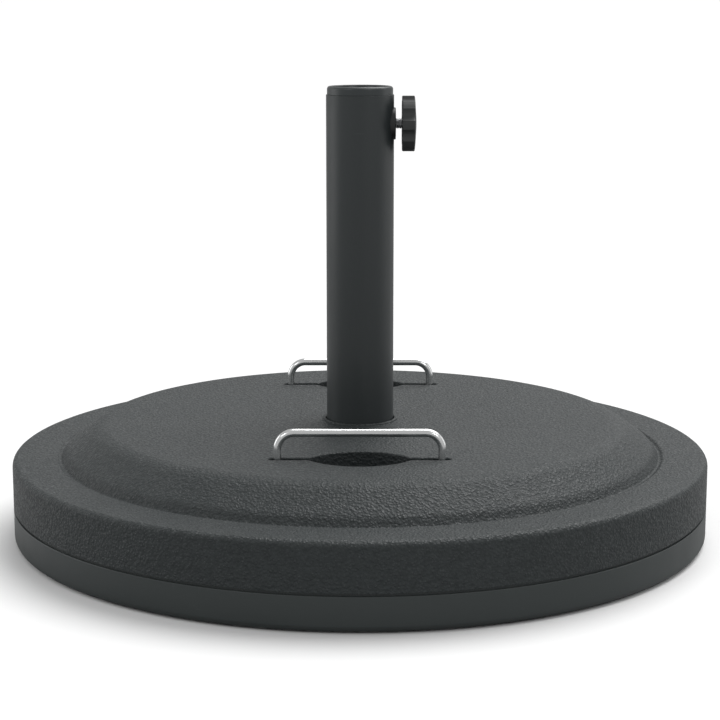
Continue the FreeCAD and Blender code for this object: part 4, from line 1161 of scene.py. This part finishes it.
def camera():
    """The view, set at the height and angle that the object is shown from."""
    data = bpy.data.cameras.new("view")
    data.lens = CAMERA_LENS
    data.sensor_width = SENSOR_WIDTH
    data.clip_start = 0.1
    data.clip_end = 2 * FLOOR_REACH
    eye = bpy.data.objects.new("view", data)
    eye.location = CAMERA_PLACE
    eye.rotation_euler = (math.pi / 2 - CAMERA_PITCH, 0, CAMERA_YAW)
    bpy.context.scene.collection.objects.link(eye)
    bpy.context.scene.camera = eye


def lamp(name, place, aim_height, width, power):
    """A square soft box that looks at the object's middle."""
    data = bpy.data.lights.new(name, "AREA")
    data.shape = "RECTANGLE"
    data.size = width
    data.size_y = width
    data.energy = power
    box = bpy.data.objects.new(name, data)
    box.location = place
    box.rotation_euler = (UP * aim_height - Vector(place)).to_track_quat("-Z", "Y").to_euler()
    bpy.context.scene.collection.objects.link(box)


def floor():
    """Wide white floor. What it throws back at the object is held down, as black cards would."""
    shape = bmesh.new()
    bmesh.ops.create_grid(shape, x_segments=2, y_segments=2, size=FLOOR_REACH)
    thing = as_object("floor", shape)
    material = bpy.data.materials.new("floor_paint")
    material.use_nodes = True
    tree = material.node_tree
    shader = tree.nodes["Principled BSDF"]
    place = tree.nodes.new("ShaderNodeTexCoord").outputs["Object"]
    cloud = noise(tree, place, 3.0, 3.0)
    seen = tree.nodes.new("ShaderNodeLightPath").outputs["Is Camera Ray"]
    paint = blended(tree, cloud, (0.90, 0.90, 0.90, 1), (0.93, 0.93, 0.93, 1))
    tree.links.new(blended(tree, seen, FLOOR_BOUNCE, paint), shader.inputs["Base Color"])
    shader.inputs["Roughness"].default_value = 0.75
    thing.data.materials.append(material)


def surroundings():
    """White wherever it is seen, and a weaker soft light on the object."""
    world = bpy.data.worlds.new("studio")
    bpy.context.scene.world = world
    world.use_nodes = True
    tree = world.node_tree
    back = tree.nodes["Background"]
    back.inputs["Color"].default_value = (1, 1, 1, 1)
    seen = tree.nodes.new("ShaderNodeLightPath").outputs["Is Camera Ray"]
    tree.links.new(span(tree, seen, 0.0, 1.0, ROOM_LIGHT, 1.0), back.inputs["Strength"])


def sky_panel():
    """Very wide soft panel far overhead, a little behind and to the right."""
    data = bpy.data.lights.new("ceiling_panel", "SUN")
    data.energy = CEILING_LIGHT
    data.angle = CEILING_SPREAD
    panel = bpy.data.objects.new("ceiling_panel", data)
    panel.rotation_euler = CEILING_TILT
    bpy.context.scene.collection.objects.link(panel)


camera()
floor()
surroundings()
sky_panel()
for box in SOFT_BOXES:
    lamp(*box)
bpy.context.scene.view_settings.view_transform = "Standard"
